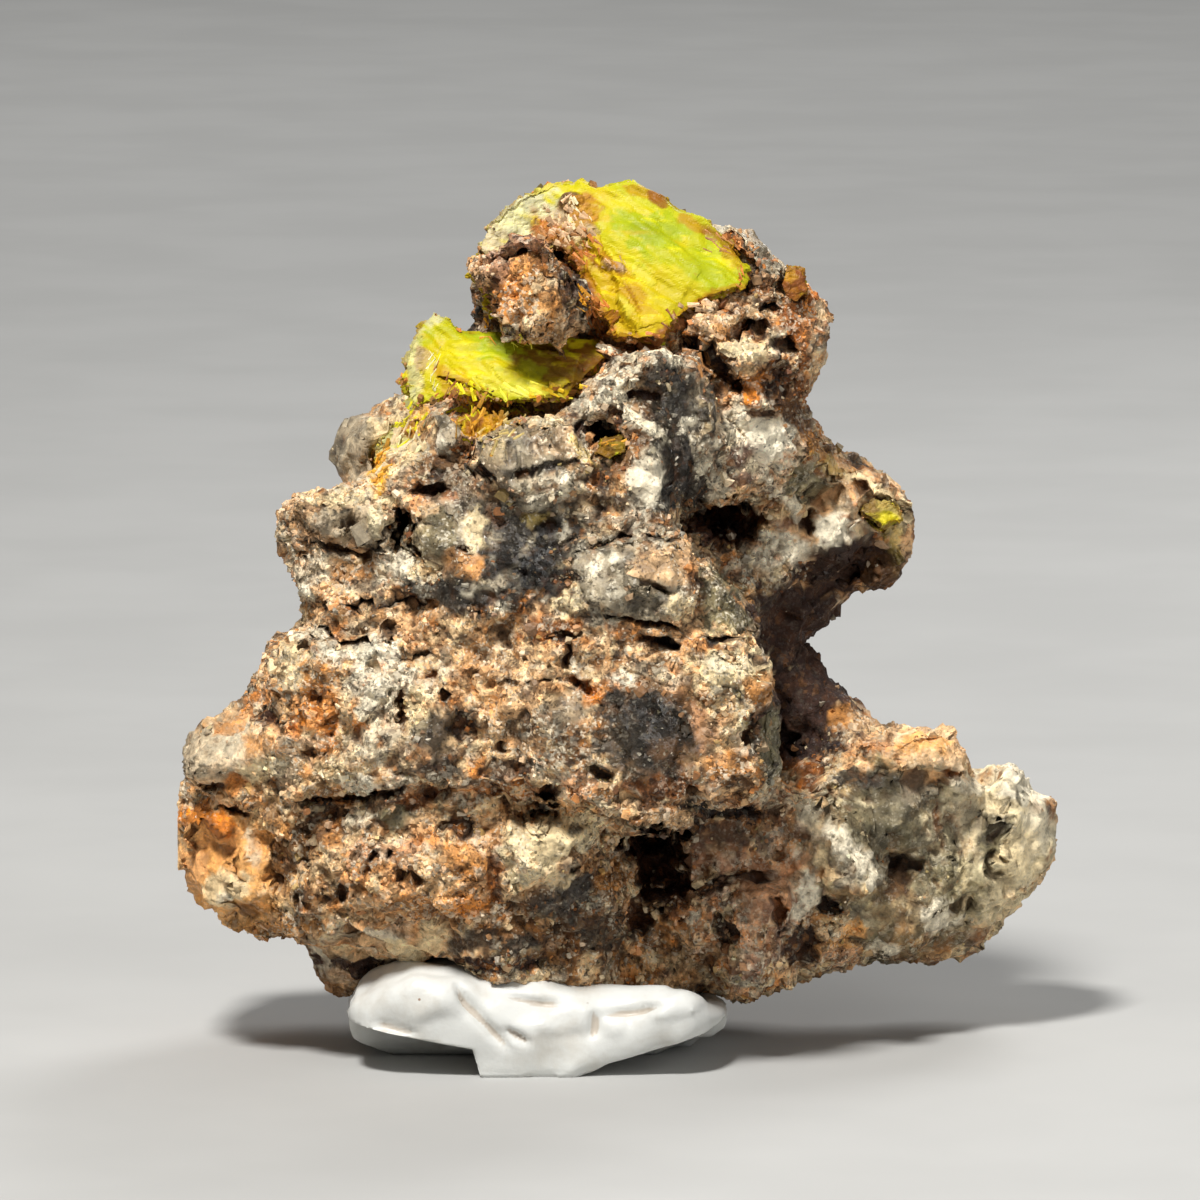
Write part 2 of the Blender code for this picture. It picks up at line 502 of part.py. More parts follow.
PUTTY_OUTLINE = [(-9.2, 2.0), (-8.4, 2.8), (-7.0, 3.4), (-5.0, 3.7), (-3.4, 3.4), (0.0, 3.0), (3.4, 2.6), (6.0, 2.4),
                 (7.2, 1.8), (6.2, 0.9), (4.6, 0.0), (2.4, -0.8), (0.4, -1.5), (-3.4, -1.8), (-4.8, -1.0), (-8.2, 0.6)]
PUTTY_FRONT, PUTTY_BACK = -5.6, 6.2

COLOURS = {
    "matrix": ((0.36, 0.25, 0.16), 0.85),
    "uranocircite": ((0.80, 0.76, 0.06), 0.40),
    "putty": ((0.83, 0.82, 0.78), 0.60),
}


def clear_scene():
    for obj in list(bpy.data.objects):
        bpy.data.objects.remove(obj)


def material(name):
    colour, roughness = COLOURS[name]
    made = bpy.data.materials.get(name) or bpy.data.materials.new(name)
    made.use_nodes = True
    shader = made.node_tree.nodes["Principled BSDF"]
    shader.inputs["Base Color"].default_value = (*colour, 1.0)
    shader.inputs["Roughness"].default_value = roughness
    shader.inputs["Metallic"].default_value = 0.0
    return made


def collection(name, hidden=False):
    made = bpy.data.collections.new(name)
    bpy.context.scene.collection.children.link(made)
    made.hide_render = hidden
    return made


def new_object(name, bm, into):
    mesh = bpy.data.meshes.new(name)
    bm.to_mesh(mesh)
    bm.free()
    obj = bpy.data.objects.new(name, mesh)
    into.objects.link(obj)
    return obj


def apply_modifiers(obj):
    """The object's evaluated mesh becomes its own."""
    graph = bpy.context.evaluated_depsgraph_get()
    obj.data = bpy.data.meshes.new_from_object(obj.evaluated_get(graph))
    obj.modifiers.clear()


def place(x, up, away):
    """A point of an outline in the part's frame: what lies further away is drawn higher than it is."""
    return Vector((x - FOOT_CENTRE_X, away - FOOT_CENTRE_Y, up - away * SIGHT_SLOPE)) * MM


def slab(bm, outline, front, back, inset, lean, back_lean=(0.0, 0.0)):
    """A block with the outline's full size through its middle, and smaller faces at its front and back."""
    middle_x = sum(p[0] for p in outline) / len(outline)
    middle_up = sum(p[1] for p in outline) / len(outline)
    chamfer = min(0.28 * (back - front), 1.6)
    rings = []
    for away, size in (
        (front, 1 - inset),
        (front + chamfer, 1.0),
        (back - chamfer, 1.0),
        (back, 1 - inset),
    ):
        nearness = (back - away) / (back - front)
        ring = []
        for x, up in outline:
            across, rise = x - middle_x, up - middle_up
            slope_across = nearness * lean[0] + (1 - nearness) * back_lean[0]
            slope_up = nearness * lean[1] + (1 - nearness) * back_lean[1]
            depth = away + slope_across * across + slope_up * rise
            ring.append(bm.verts.new(place(middle_x + size * across, middle_up + size * rise, depth)))
        rings.append(ring)
    count = len(outline)
    for near, far in zip(rings, rings[1:]):
        for i in range(count):
            j = (i + 1) % count
            bm.faces.new((near[i], far[i], far[j], near[j]))
    bm.faces.new(rings[0])
    bm.faces.new(reversed(rings[-1]))


def prism(bm, outline, front, back, lean):
    """A straight block of the outline, tilted whole."""
    middle_x = sum(p[0] for p in outline) / len(outline)
    middle_up = sum(p[1] for p in outline) / len(outline)
    rings = []
    for away in (front, back):
        tilt = [lean[0] * (x - middle_x) + lean[1] * (up - middle_up) for x, up in outline]
        rings.append([bm.verts.new(place(x, up, away + t)) for (x, up), t in zip(outline, tilt)])
    near, far = rings
    for i in range(len(outline)):
        j = (i + 1) % len(outline)
        bm.faces.new((near[i], far[i], far[j], near[j]))
    bm.faces.new(near)
    bm.faces.new(reversed(far))


def remeshed(obj, voxel):
    remesh = obj.modifiers.new("join", "REMESH")
    remesh.mode = "VOXEL"
    remesh.voxel_size = voxel
    apply_modifiers(obj)


def largest_body(bm):
    """Only the biggest connected body stays."""
    left = set(bm.verts)
    bodies = []
    while left:
        todo = [left.pop()]
        body = set(todo)
        while todo:
            for edge in todo.pop().link_edges:
                for vert in edge.verts:
                    if vert in left:
                        left.discard(vert)
                        body.add(vert)
                        todo.append(vert)
        bodies.append(body)
    bodies.sort(key=len, reverse=True)
    crumbs = [vert for body in bodies[1:] for vert in body]
    bmesh.ops.delete(bm, geom=crumbs, context="VERTS")


def keep_largest_body(obj):
    bm = bmesh.new()
    bm.from_mesh(obj.data)
    largest_body(bm)
    bm.to_mesh(obj.data)
    bm.free()


def thinned(obj, triangles):
    """The mesh with about this many triangles."""
    bm = bmesh.new()
    bm.from_mesh(obj.data)
    bmesh.ops.triangulate(bm, faces=bm.faces)
    bm.to_mesh(obj.data)
    bm.free()
    decimate = obj.modifiers.new("thin", "DECIMATE")
    decimate.ratio = min(1.0, triangles / len(obj.data.polygons))
    apply_modifiers(obj)


def cut(obj, cutter):
    boolean = obj.modifiers.new("cut", "BOOLEAN")
    boolean.operation = "DIFFERENCE"
    boolean.solver = "EXACT"
    boolean.object = cutter
    apply_modifiers(obj)


def pit_cutter(pit, cutters):
    x, away, up = pit.centre
    bm = bmesh.new()
    bmesh.ops.create_icosphere(bm, subdivisions=3, radius=MM)
    for vert in bm.verts:
        lump = 1 + 0.22 * noise.noise(vert.co / MM * 1.7 + Vector((x, away, up)))
        vert.co = Vector(r * c * lump for r, c in zip(pit.radii, vert.co))
    turn = Euler((0, math.radians(-pit.turn), 0)).to_matrix().to_4x4()
    bmesh.ops.transform(bm, matrix=turn, verts=bm.verts)
    bmesh.ops.translate(bm, vec=place(x, up, away), verts=bm.verts)
    return hidden_cutter(pit.name, bm, cutters)


def chip_facets(obj, spacing, share, seed):
    """Flattens the surface towards planes through scattered points of it, which leaves broken faces and edges."""
    rng = random.Random(seed)
    verts = obj.data.vertices
    order = list(range(len(verts)))
    rng.shuffle(order)
    tree = kdtree.KDTree(len(verts))
    for i, vert in enumerate(verts):
        tree.insert(vert.co, i)
    tree.balance()
    taken = [False] * len(verts)
    seeds = []
    for i in order:
        if taken[i]:
            continue
        near = tree.find_range(verts[i].co, spacing)
        normal = Vector()
        for _, j, _ in near:
            normal += verts[j].normal
            taken[j] = True
        centre = sum((verts[j].co for _, j, _ in near), Vector()) / len(near)
        tip = Vector([rng.gauss(0, 0.22) for _ in range(3)])
        seeds.append((centre, (normal.normalized() + tip).normalized()))
    facets = kdtree.KDTree(len(seeds))
    for i, (centre, _) in enumerate(seeds):
        facets.insert(centre, i)
    facets.balance()
    moved = []
    for vert in verts:
        _, i, _ = facets.find(vert.co)
        centre, normal = seeds[i]
        off = (vert.co - centre).dot(normal)
        moved.append(vert.co - normal * max(-spacing, min(spacing, off)) * share)
    for vert, co in zip(verts, moved):
        vert.co = co


def roughen(obj, size, height, seed):
    """Moves each vertex along its normal by smooth noise whose lumps are about this size."""
    shift = Vector((seed * 17.3, seed * 5.1, seed * 9.7))
    moved = [
        vert.co + vert.normal * height * noise.fractal(vert.co / size + shift, 0.6, 2.1, 3)
        for vert in obj.data.vertices
    ]
    for vert, co in zip(obj.data.vertices, moved):
        vert.co = co


def build_matrix(parts, cutters):
    bm = bmesh.new()
    for block in TOP_BLOCKS + MIDDLE_BLOCKS + LOWER_BLOCKS + BACK_BLOCKS + STONES:
        slab(bm, block.outline, block.front, block.back, block.inset, block.lean)
    bmesh.ops.recalc_face_normals(bm, faces=bm.faces)
    rock = new_object("matrix", bm, parts)
    remeshed(rock, UNION_VOXEL)
    roughen(rock, 3.2 * MM, 0.45 * MM, seed=1)
    chip_facets(rock, FACET_SPACING, 0.65, seed=4)
    remeshed(rock, UNION_VOXEL)
    for pit in PITS:
        cut(rock, pit_cutter(pit, cutters))
    remeshed(rock, UNION_VOXEL)
    roughen(rock, 1.1 * MM, 0.20 * MM, seed=2)
    keep_largest_body(rock)
    thinned(rock, MATRIX_TRIANGLES)
    rock.data.materials.clear()
    rock.data.materials.append(material("matrix"))
    return rock


def plate_object(name, plate, into):
    bm = bmesh.new()
    lean = (0.0, plate.lean)
    slab(bm, plate.outline, plate.front, plate.back, 0.06, lean, lean)
    bmesh.ops.recalc_face_normals(bm, faces=bm.faces)
    return new_object(name, bm, into)


def build_crystal(name, plates, parts, cutters):
    book = plate_object(name, plates[0], parts)
    for i, plate in enumerate(plates[1:]):
        leaf = plate_object(f"{name}_leaf_{i}", plate, cutters)
        leaf.hide_render = True
        join = book.modifiers.new("join", "BOOLEAN")
        join.operation = "UNION"
        join.solver = "EXACT"
        join.object = leaf
        apply_modifiers(book)
    book.data.materials.clear()
    book.data.materials.append(material("uranocircite"))
    return book


def build_putty(parts):
    bm = bmesh.new()
    slab(bm, PUTTY_OUTLINE, PUTTY_FRONT, PUTTY_BACK, 0.12, (0.0, 0.0))
    bmesh.ops.recalc_face_normals(bm, faces=bm.faces)
    putty = new_object("mounting_putty", bm, parts)
    remeshed(putty, UNION_VOXEL)
    roughen(putty, 3.6 * MM, 0.5 * MM, seed=6)
    chip_facets(putty, 2.6 * MM, 0.5, seed=8)
    thinned(putty, PUTTY_TRIANGLES)
    bm = bmesh.new()
    bm.from_mesh(putty.data)
    cut_plane = bmesh.ops.bisect_plane(
        bm,
        geom=bm.verts[:] + bm.edges[:] + bm.faces[:],
        plane_co=(0, 0, 0),
        plane_no=(0, 0, 1),
        clear_inner=True,
    )
    rim = [e for e in cut_plane["geom_cut"] if isinstance(e, bmesh.types.BMEdge)]
    bmesh.ops.edgeloop_fill(bm, edges=rim)
    bmesh.ops.recalc_face_normals(bm, faces=bm.faces)
    bm.to_mesh(putty.data)
    bm.free()
    putty.data.materials.clear()
    putty.data.materials.append(material("putty"))
    return putty


def grown(outline, by):
    """The outline moved outwards by this much all round."""
    points = [Vector(p) for p in outline]
    turning = sum(p.cross(q) for p, q in zip(points, points[1:] + points[:1]))
    outward = 1 if turning > 0 else -1
    moved = []
    for i, point in enumerate(points):
        before = (point - points[i - 1]).normalized()
        after = (points[(i + 1) % len(points)] - point).normalized()
        mitre = Vector((before.y + after.y, -before.x - after.x)).normalized() * outward
        reach = by / max(0.5, abs(mitre.dot(Vector((before.y, -before.x)))))
        moved.append(point + mitre * reach)
    return [tuple(p) for p in moved]


def hidden_cutter(name, bm, cutters):
    cutter = new_object("cutter_" + name, bm, cutters)
    cutter.hide_render = True
    cutter.display_type = "WIRE"
    return cutter


def seat_crystal(rock, name, plates, cutters):
    """Cuts a socket for each plate of the book."""
    for i, plate in enumerate(plates):
        bm = bmesh.new()
        lean = (0.0, plate.lean)
        slope_gap = SEAT_GAP * math.hypot(1.0, plate.lean + SIGHT_SLOPE)
        outline = grown(plate.outline, SEAT_GAP)
        prism(bm, outline, plate.front - slope_gap, plate.back + slope_gap, lean)
        bmesh.ops.recalc_face_normals(bm, faces=bm.faces)
        cut(rock, hidden_cutter(f"{name}_{i}", bm, cutters))


def seat_putty(rock, putty, cutters):
    """Cuts the putty's own shape, a little swollen, out of the underside."""
    bm = bmesh.new()
    bm.from_mesh(putty.data)
    for vert in bm.verts:
        vert.co += vert.normal * 2 * SEAT_GAP * MM
    cut(rock, hidden_cutter("putty_bed", bm, cutters))


def main():
    clear_scene()
    parts = collection("uranocircite_specimen")
    cutters = collection("cutters", hidden=True)
    rock = build_matrix(parts, cutters)
    for name, plates in CRYSTALS.items():
        build_crystal(name, plates, parts, cutters)
        seat_crystal(rock, name, plates, cutters)
    seat_putty(rock, build_putty(parts), cutters)
    keep_largest_body(rock)


main()
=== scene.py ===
"""Uranocircite specimen: crumbly quartz and feldspar rock with yellow crystal books, on a pad of white putty.

Everything is in metres. Places on the showing side are given as (across, up) in millimetres, as they are seen
from the front, a little above the horizon.
"""

import math
from collections import namedtuple

import bmesh
import bpy
import numpy as np
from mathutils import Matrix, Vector, bvhtree


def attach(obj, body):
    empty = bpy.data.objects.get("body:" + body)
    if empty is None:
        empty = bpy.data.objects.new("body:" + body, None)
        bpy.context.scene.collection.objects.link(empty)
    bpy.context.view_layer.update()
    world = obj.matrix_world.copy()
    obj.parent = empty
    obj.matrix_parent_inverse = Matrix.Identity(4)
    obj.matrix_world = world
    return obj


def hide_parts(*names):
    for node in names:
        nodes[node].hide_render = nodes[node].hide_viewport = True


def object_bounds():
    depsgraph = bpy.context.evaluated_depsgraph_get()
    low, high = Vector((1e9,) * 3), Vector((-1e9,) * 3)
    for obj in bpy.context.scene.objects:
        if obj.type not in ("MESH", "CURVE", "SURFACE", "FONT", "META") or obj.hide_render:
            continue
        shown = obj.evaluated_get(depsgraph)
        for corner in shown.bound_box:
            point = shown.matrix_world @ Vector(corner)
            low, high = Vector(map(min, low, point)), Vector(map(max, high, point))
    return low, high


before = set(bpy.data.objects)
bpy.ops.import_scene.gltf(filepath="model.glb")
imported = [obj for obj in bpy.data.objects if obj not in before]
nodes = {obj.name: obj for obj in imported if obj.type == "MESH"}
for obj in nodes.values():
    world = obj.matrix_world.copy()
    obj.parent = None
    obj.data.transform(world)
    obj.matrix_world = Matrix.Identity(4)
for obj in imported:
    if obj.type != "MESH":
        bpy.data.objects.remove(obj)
cad_low, cad_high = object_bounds()

MM = 0.001
SIGHT_ELEVATION = math.radians(8)
SIGHT_SLOPE = math.tan(SIGHT_ELEVATION)
ACROSS_SHIFT, AWAY_SHIFT = 1.0, -0.4  # from the places' millimetres to the frame's
FRONT_FADES = (8, 10)  # how far away, in millimetres, what is placed for the front fades out

ROCK_VOXEL = 0.14 * MM
FRONT_TRIANGLES = 198000
BACK_TRIANGLES = 120000
FRONT_ENDS = 3.0  # how far away the close piece of the rock reaches, in millimetres
SEAM = 0.3  # how far the rock's two pieces overlap, in millimetres
BOOK_VOXEL = 0.085 * MM
PUTTY_VOXEL = 0.16 * MM
BOX_MARGIN = 0.02 * MM
DARKEST, PALEST = 0.003, 0.86  # the limits of a colour, in linear light
GRAIN_SHAPES = 10  # how many different shapes the grains have
GRAIN_CUTS = 6  # how many times a cube is cut to make one
GRAIN_SUNK = 0.30  # how deep a grain sits in its ground, as a share of its size
CRUMB_REACH = 0.75 * MM  # how far from the crystal books their crumbs lie
PLATE = 0.13  # how thick a book's plates are, in millimetres
STEP_COUNT = 2.2  # how many steps a book's face has for each unit of noise
STREAK_WAY = Vector((0.76, 0, -0.65))  # the way the torn edges of the plates run
SPLINTER_SHAPES = 5  # how many different shapes the splinters have
SPLINTER_SHARE = 0.7  # how many of a bunch's splinters are laid
SPLINTER_SPREAD = 0.7  # how wide they are laid, as a share of the bunch's spread
SPLINTER_SCATTER = 12  # how far their directions differ, in degrees


def srgb(red, green, blue):
    """A colour given as screen values from 0 to 255, as linear light."""
    values = np.array([red, green, blue]) / 255
    return np.where(values <= 0.04045, values / 12.92, ((values + 0.055) / 1.055) ** 2.4)


SMOKY = srgb(56, 49, 39)
GREY = srgb(148, 137, 116)
FROST = srgb(202, 192, 168)
GREEN_GREY = srgb(118, 110, 82)
DARK = srgb(13, 10, 7)
DEEP_BROWN = srgb(62, 34, 14)
UMBER = srgb(58, 32, 10)
BROWN = srgb(124, 84, 46)
RUST = srgb(146, 84, 34)
OCHRE = srgb(176, 122, 68)
ORANGE = srgb(200, 122, 50)
PEACH = srgb(226, 168, 104)
HONEY = srgb(206, 152, 102)
PLUM = srgb(112, 74, 60)
PINK = srgb(196, 148, 110)
PLUM_TAN = srgb(158, 120, 96)
TAN = srgb(204, 166, 124)
STRAW = srgb(206, 180, 108)
CREAM = srgb(236, 214, 170)
WHITE = srgb(222, 212, 188)
STONE = srgb(190, 177, 144)
LEMON = srgb(242, 226, 22)
GOLDEN = srgb(206, 150, 42)


# ---------------------------------------------------------------------------------------------- noise


def hashed(cells, seed):
    """A repeatable value from 0 to 1 for each row of whole numbers."""
    grid = cells.astype(np.int64).astype(np.uint32)
    h = grid[:, 0] * np.uint32(374761393) + grid[:, 1] * np.uint32(668265263)
    h += grid[:, 2] * np.uint32(2246822519) + np.uint32(seed * 3266489917 % 4294967296)
    h = (h ^ (h >> np.uint32(13))) * np.uint32(1274126177)
    h = (h ^ (h >> np.uint32(16))) * np.uint32(2654435761)
    return (h ^ (h >> np.uint32(15))).astype(np.float64) / 4294967295.0


def value_noise(points, seed):
    """Smooth noise from -1 to 1 with lumps about one unit across."""
    low = np.floor(points)
    f = points - low
    f = f * f * f * (f * (f * 6 - 15) + 10)
    total = np.zeros(len(points))
    for corner in np.ndindex(2, 2, 2):
        weight = np.ones(len(points))
        for axis in range(3):
            weight *= f[:, axis] if corner[axis] else 1 - f[:, axis]
        total += weight * hashed(low + np.array(corner), seed)
    return total * 2 - 1


def fractal(points, seed, octaves=4, fade=0.55):
    """Noise of several sizes in one, the finer the fainter."""
    total = np.zeros(len(points))
    amount, scale = 1.0, 1.0
    for octave in range(octaves):
        total += amount * value_noise(points * scale + 7.3 * octave, seed + octave)
        amount *= fade
        scale *= 2.03
    return total


def cell_numbers(points, seed):
    """For each point, a number that stands for the scattered seed it is nearest to."""
    low = np.floor(points)
    best = np.full(len(points), 1e9)
    owner = np.zeros((len(points), 3))
    for step in np.ndindex(3, 3, 3):
        cell = low + np.array(step) - 1
        place = np.stack([hashed(cell, seed + k) for k in range(3)], axis=1) + cell
        gap = ((points - place) ** 2).sum(axis=1)
        nearer = gap < best
        best = np.where(nearer, gap, best)
        owner[nearer] = cell[nearer]
    key = (owner[:, 0] + 512) * 1048576 + (owner[:, 1] + 512) * 1024 + owner[:, 2] + 512
    return np.unique(key, return_inverse=True)[1]


def smoothstep(low, high, values):
    """A soft step from 0 at the low value to 1 at the high one."""
    t = np.clip((values - low) / (high - low), 0, 1)
    return t * t * (3 - 2 * t)


# ---------------------------------------------------------------------------------------------- meshes


def read_all(items, name, width, kind=np.float64):
    """One row of numbers for each of a mesh's items."""
    flat = np.empty(len(items) * width, dtype=kind)
    items.foreach_get(name, flat)
    return flat.reshape(-1, width)


def positions(mesh):
    return read_all(mesh.vertices, "co", 3)


def set_positions(mesh, co):
    mesh.vertices.foreach_set("co", co.ravel())
    mesh.update()


def vertex_normals(mesh):
    return read_all(mesh.vertex_normals, "vector", 3)


def moved(mesh, co):
    """Sets the points and gives back their new normals."""
    set_positions(mesh, co)
    return vertex_normals(mesh)


def edge_pairs(mesh):
    return read_all(mesh.edges, "vertices", 2, np.int64)


def quads(mesh):
    return read_all(mesh.loops, "vertex_index", 1, np.int64).reshape(-1, 4)


def relaxed(co, pairs, rounds, share=0.5):
    """Each point moved towards the middle of its neighbours, this many times over."""
    count = np.bincount(pairs.ravel(), minlength=len(co))[:, None]
    out = co.copy()
    for _ in range(rounds):
        total = np.zeros_like(out)
        for axis in range(out.shape[1]):
            for here, there in ((pairs[:, 0], pairs[:, 1]), (pairs[:, 1], pairs[:, 0])):
                total[:, axis] += np.bincount(here, out[there, axis], len(co))
        out += share * (total / np.maximum(count, 1) - out)
    return out


def pushed(co, way, distance):
    """Points moved along a direction, each by its own distance in millimetres."""
    return co + way * (MM * distance)[:, None]


def sunk(co, around, normals):
    """How deep each point lies below the smoothed points around it, in millimetres."""
    return ((around - co) * normals).sum(axis=1) / MM


def blended(colour, other, amount):
    return colour + (other - colour) * amount[:, None]


def shown(co):
    """Where points are seen from the front: across and up, in millimetres, and how far away they lie."""
    across = co[:, 0] / MM - ACROSS_SHIFT
    away = co[:, 1] / MM - AWAY_SHIFT
    up = co[:, 2] / MM + away * SIGHT_SLOPE
    return across, up, away


def apply_modifiers(obj):
    graph = bpy.context.evaluated_depsgraph_get()
    old = obj.data
    obj.data = bpy.data.meshes.new_from_object(obj.evaluated_get(graph))
    obj.modifiers.clear()
    bpy.data.meshes.remove(old)


def new_object(name, data):
    obj = bpy.data.objects.new(name, data)
    bpy.context.scene.collection.objects.link(obj)
    return obj


# Lumps that close a gap seen through the right lobe: middle and half sizes in millimetres.
PLUGS = [((12.5, 4.6, 19.95), (1.7, 2.8, 0.95)), ((11.5, 4.6, 18.95), (1.1, 2.6, 0.85))]


def add_plugs(mesh):
    bm = bmesh.new()
    bm.from_mesh(mesh)
    for middle, half in PLUGS:
        grown = bmesh.ops.create_icosphere(bm, subdivisions=3, radius=MM)["verts"]
        bmesh.ops.scale(bm, vec=half, verts=grown)
        bmesh.ops.translate(bm, vec=Vector(middle) * MM, verts=grown)
    bm.to_mesh(mesh)
    bm.free()


def remeshed_copy(name, source, voxel, plugged=False):
    obj = new_object(name, source.data.copy())
    obj.data.materials.clear()
    if plugged:
        add_plugs(obj.data)
    remesh = obj.modifiers.new("remesh", "REMESH")
    remesh.mode = "VOXEL"
    remesh.voxel_size = voxel
    apply_modifiers(obj)
    return obj


def store_colour(mesh, name, colours):
    layer = mesh.attributes.new(name, "FLOAT_COLOR", "POINT")
    rgba = np.ones((len(mesh.vertices), 4))
    rgba[:, :3] = colours
    layer.data.foreach_set("color", rgba.ravel())


def store_value(mesh, name, values):
    layer = mesh.attributes.new(name, "FLOAT", "POINT")
    layer.data.foreach_set("value", values.astype(np.float32))


def stored_colour(mesh, name):
    return read_all(mesh.attributes[name].data, "color", 4)[:, :3]


def stored_value(mesh, name):
    return read_all(mesh.attributes[name].data, "value", 1)[:, 0]


def kept_in_box(co):
    """Points drawn back inside the CAD model's box."""
    return np.clip(co, np.array(cad_low) + BOX_MARGIN, np.array(cad_high) - BOX_MARGIN)


def finished_shape(bm):
    """A small shape's points and triangles. It is freed after that."""
    bmesh.ops.triangulate(bm, faces=bm.faces)
    bm.verts.index_update()
    verts = np.array([v.co[:] for v in bm.verts])
    tris = np.array([[v.index for v in f.verts] for f in bm.faces])
    bm.free()
    return verts, tris


def joined_object(name, verts, faces, shades, darkest=DARKEST, palest=PALEST):
    """One object from lists of points, triangles and colours."""
    made = bpy.data.meshes.new(name)
    made.from_pydata(kept_in_box(np.concatenate(verts)), [], np.concatenate(faces))
    made.update()
    store_colour(made, "tint", np.clip(np.concatenate(shades), darkest, palest))
    return new_object(name, made)


def surface_tree(obj):
    mesh = obj.data
    return bvhtree.BVHTree.FromPolygons([v.co for v in mesh.vertices], [p.vertices for p in mesh.polygons])


# ---------------------------------------------------------------------------------------------- rock

# Each thing placed for the front is an ellipse: where its middle is seen, its half width and half height, and
# its turn in degrees. A spot colours the surface, and raises it by its lift in millimetres. The lift of a pit
# is below nought.
Spot = namedtuple("Spot", "across up wide high colour strength turn lift", defaults=(0, 0.0))
# A flat face gets further away by its slants for each millimetre across and up. Its grip says how firmly the
# rock follows it.
Facet = namedtuple("Facet", "across up wide high turn slant_across slant_up grip")

# The broad regions, which the named spots then lie on.
REGIONS = [Spot(*row) for row in (
    (-6.0, 20.8, 5.0, 3.4, TAN, 0.75),
    (-1.0, 20.6, 3.2, 3.4, GREY, 0.8),
    (-5.2, 23.2, 2.2, 1.8, PLUM, 0.5, 20),
    (-4.2, 21.4, 2.4, 2.6, GREY, 0.6),
    (-4.0, 14.6, 7.0, 3.2, TAN, 0.6),
    (4.6, 13.2, 3.6, 2.8, BROWN, 0.75),
    (-6.0, 7.4, 4.6, 2.6, HONEY, 0.8),
    (-12.8, 7.6, 2.8, 3.0, PEACH, 1.0),
    (-9.0, 3.2, 2.0, 1.0, BROWN, 0.8),
    (-12.5, 12.0, 3.0, 2.0, TAN, 0.6),
    (-13.8, 12.2, 1.6, 1.1, FROST, 0.5, 20),
    (13.5, 12.2, 3.2, 1.3, TAN, 0.75),
    (12.8, 9.6, 3.0, 2.0, GREEN_GREY, 0.95),
    (17.4, 8.2, 2.8, 3.4, STONE, 0.9),
    (13.5, 5.8, 3.6, 2.0, GREEN_GREY, 0.75),
    (7.0, 6.8, 3.0, 3.6, PLUM, 0.55),
    (8.0, 6.2, 1.8, 2.2, PLUM_TAN, 0.6),
    # the recess beside the ledge and the ground under the right lobe: dark brown, partly their own colour and
    # partly painted shade
    (9.7, 15.4, 2.2, 4.0, UMBER, 1.0),
    (11.8, 19.6, 2.2, 1.2, UMBER, 1.0),
    (-0.6, 5.0, 3.6, 1.6, BROWN, 0.9),
    (7.4, 28.8, 2.8, 2.4, RUST, 0.85),
    (7.6, 32.0, 1.8, 1.7, GREY, 0.8),
    (-1.2, 30.8, 2.6, 2.6, OCHRE, 0.85),
    (7.8, 24.7, 2.0, 2.0, WHITE, 0.8),
    (4.4, 24.8, 1.8, 3.2, SMOKY, 0.95),
    (2.4, 24.6, 1.4, 2.4, BROWN, 0.7),
    (3.0, 19.2, 2.6, 1.8, GREY, 0.85),
    (-1.6, 20.4, 3.6, 2.6, SMOKY, 0.55),
    (-8.6, 20.8, 2.6, 1.8, GREY, 0.55),
    (2.0, 12.8, 3.6, 1.8, SMOKY, 0.45),
    (-4.6, 12.6, 1.8, 1.6, SMOKY, 0.5),
    (1.6, 6.0, 2.0, 1.8, SMOKY, 0.4),
)]
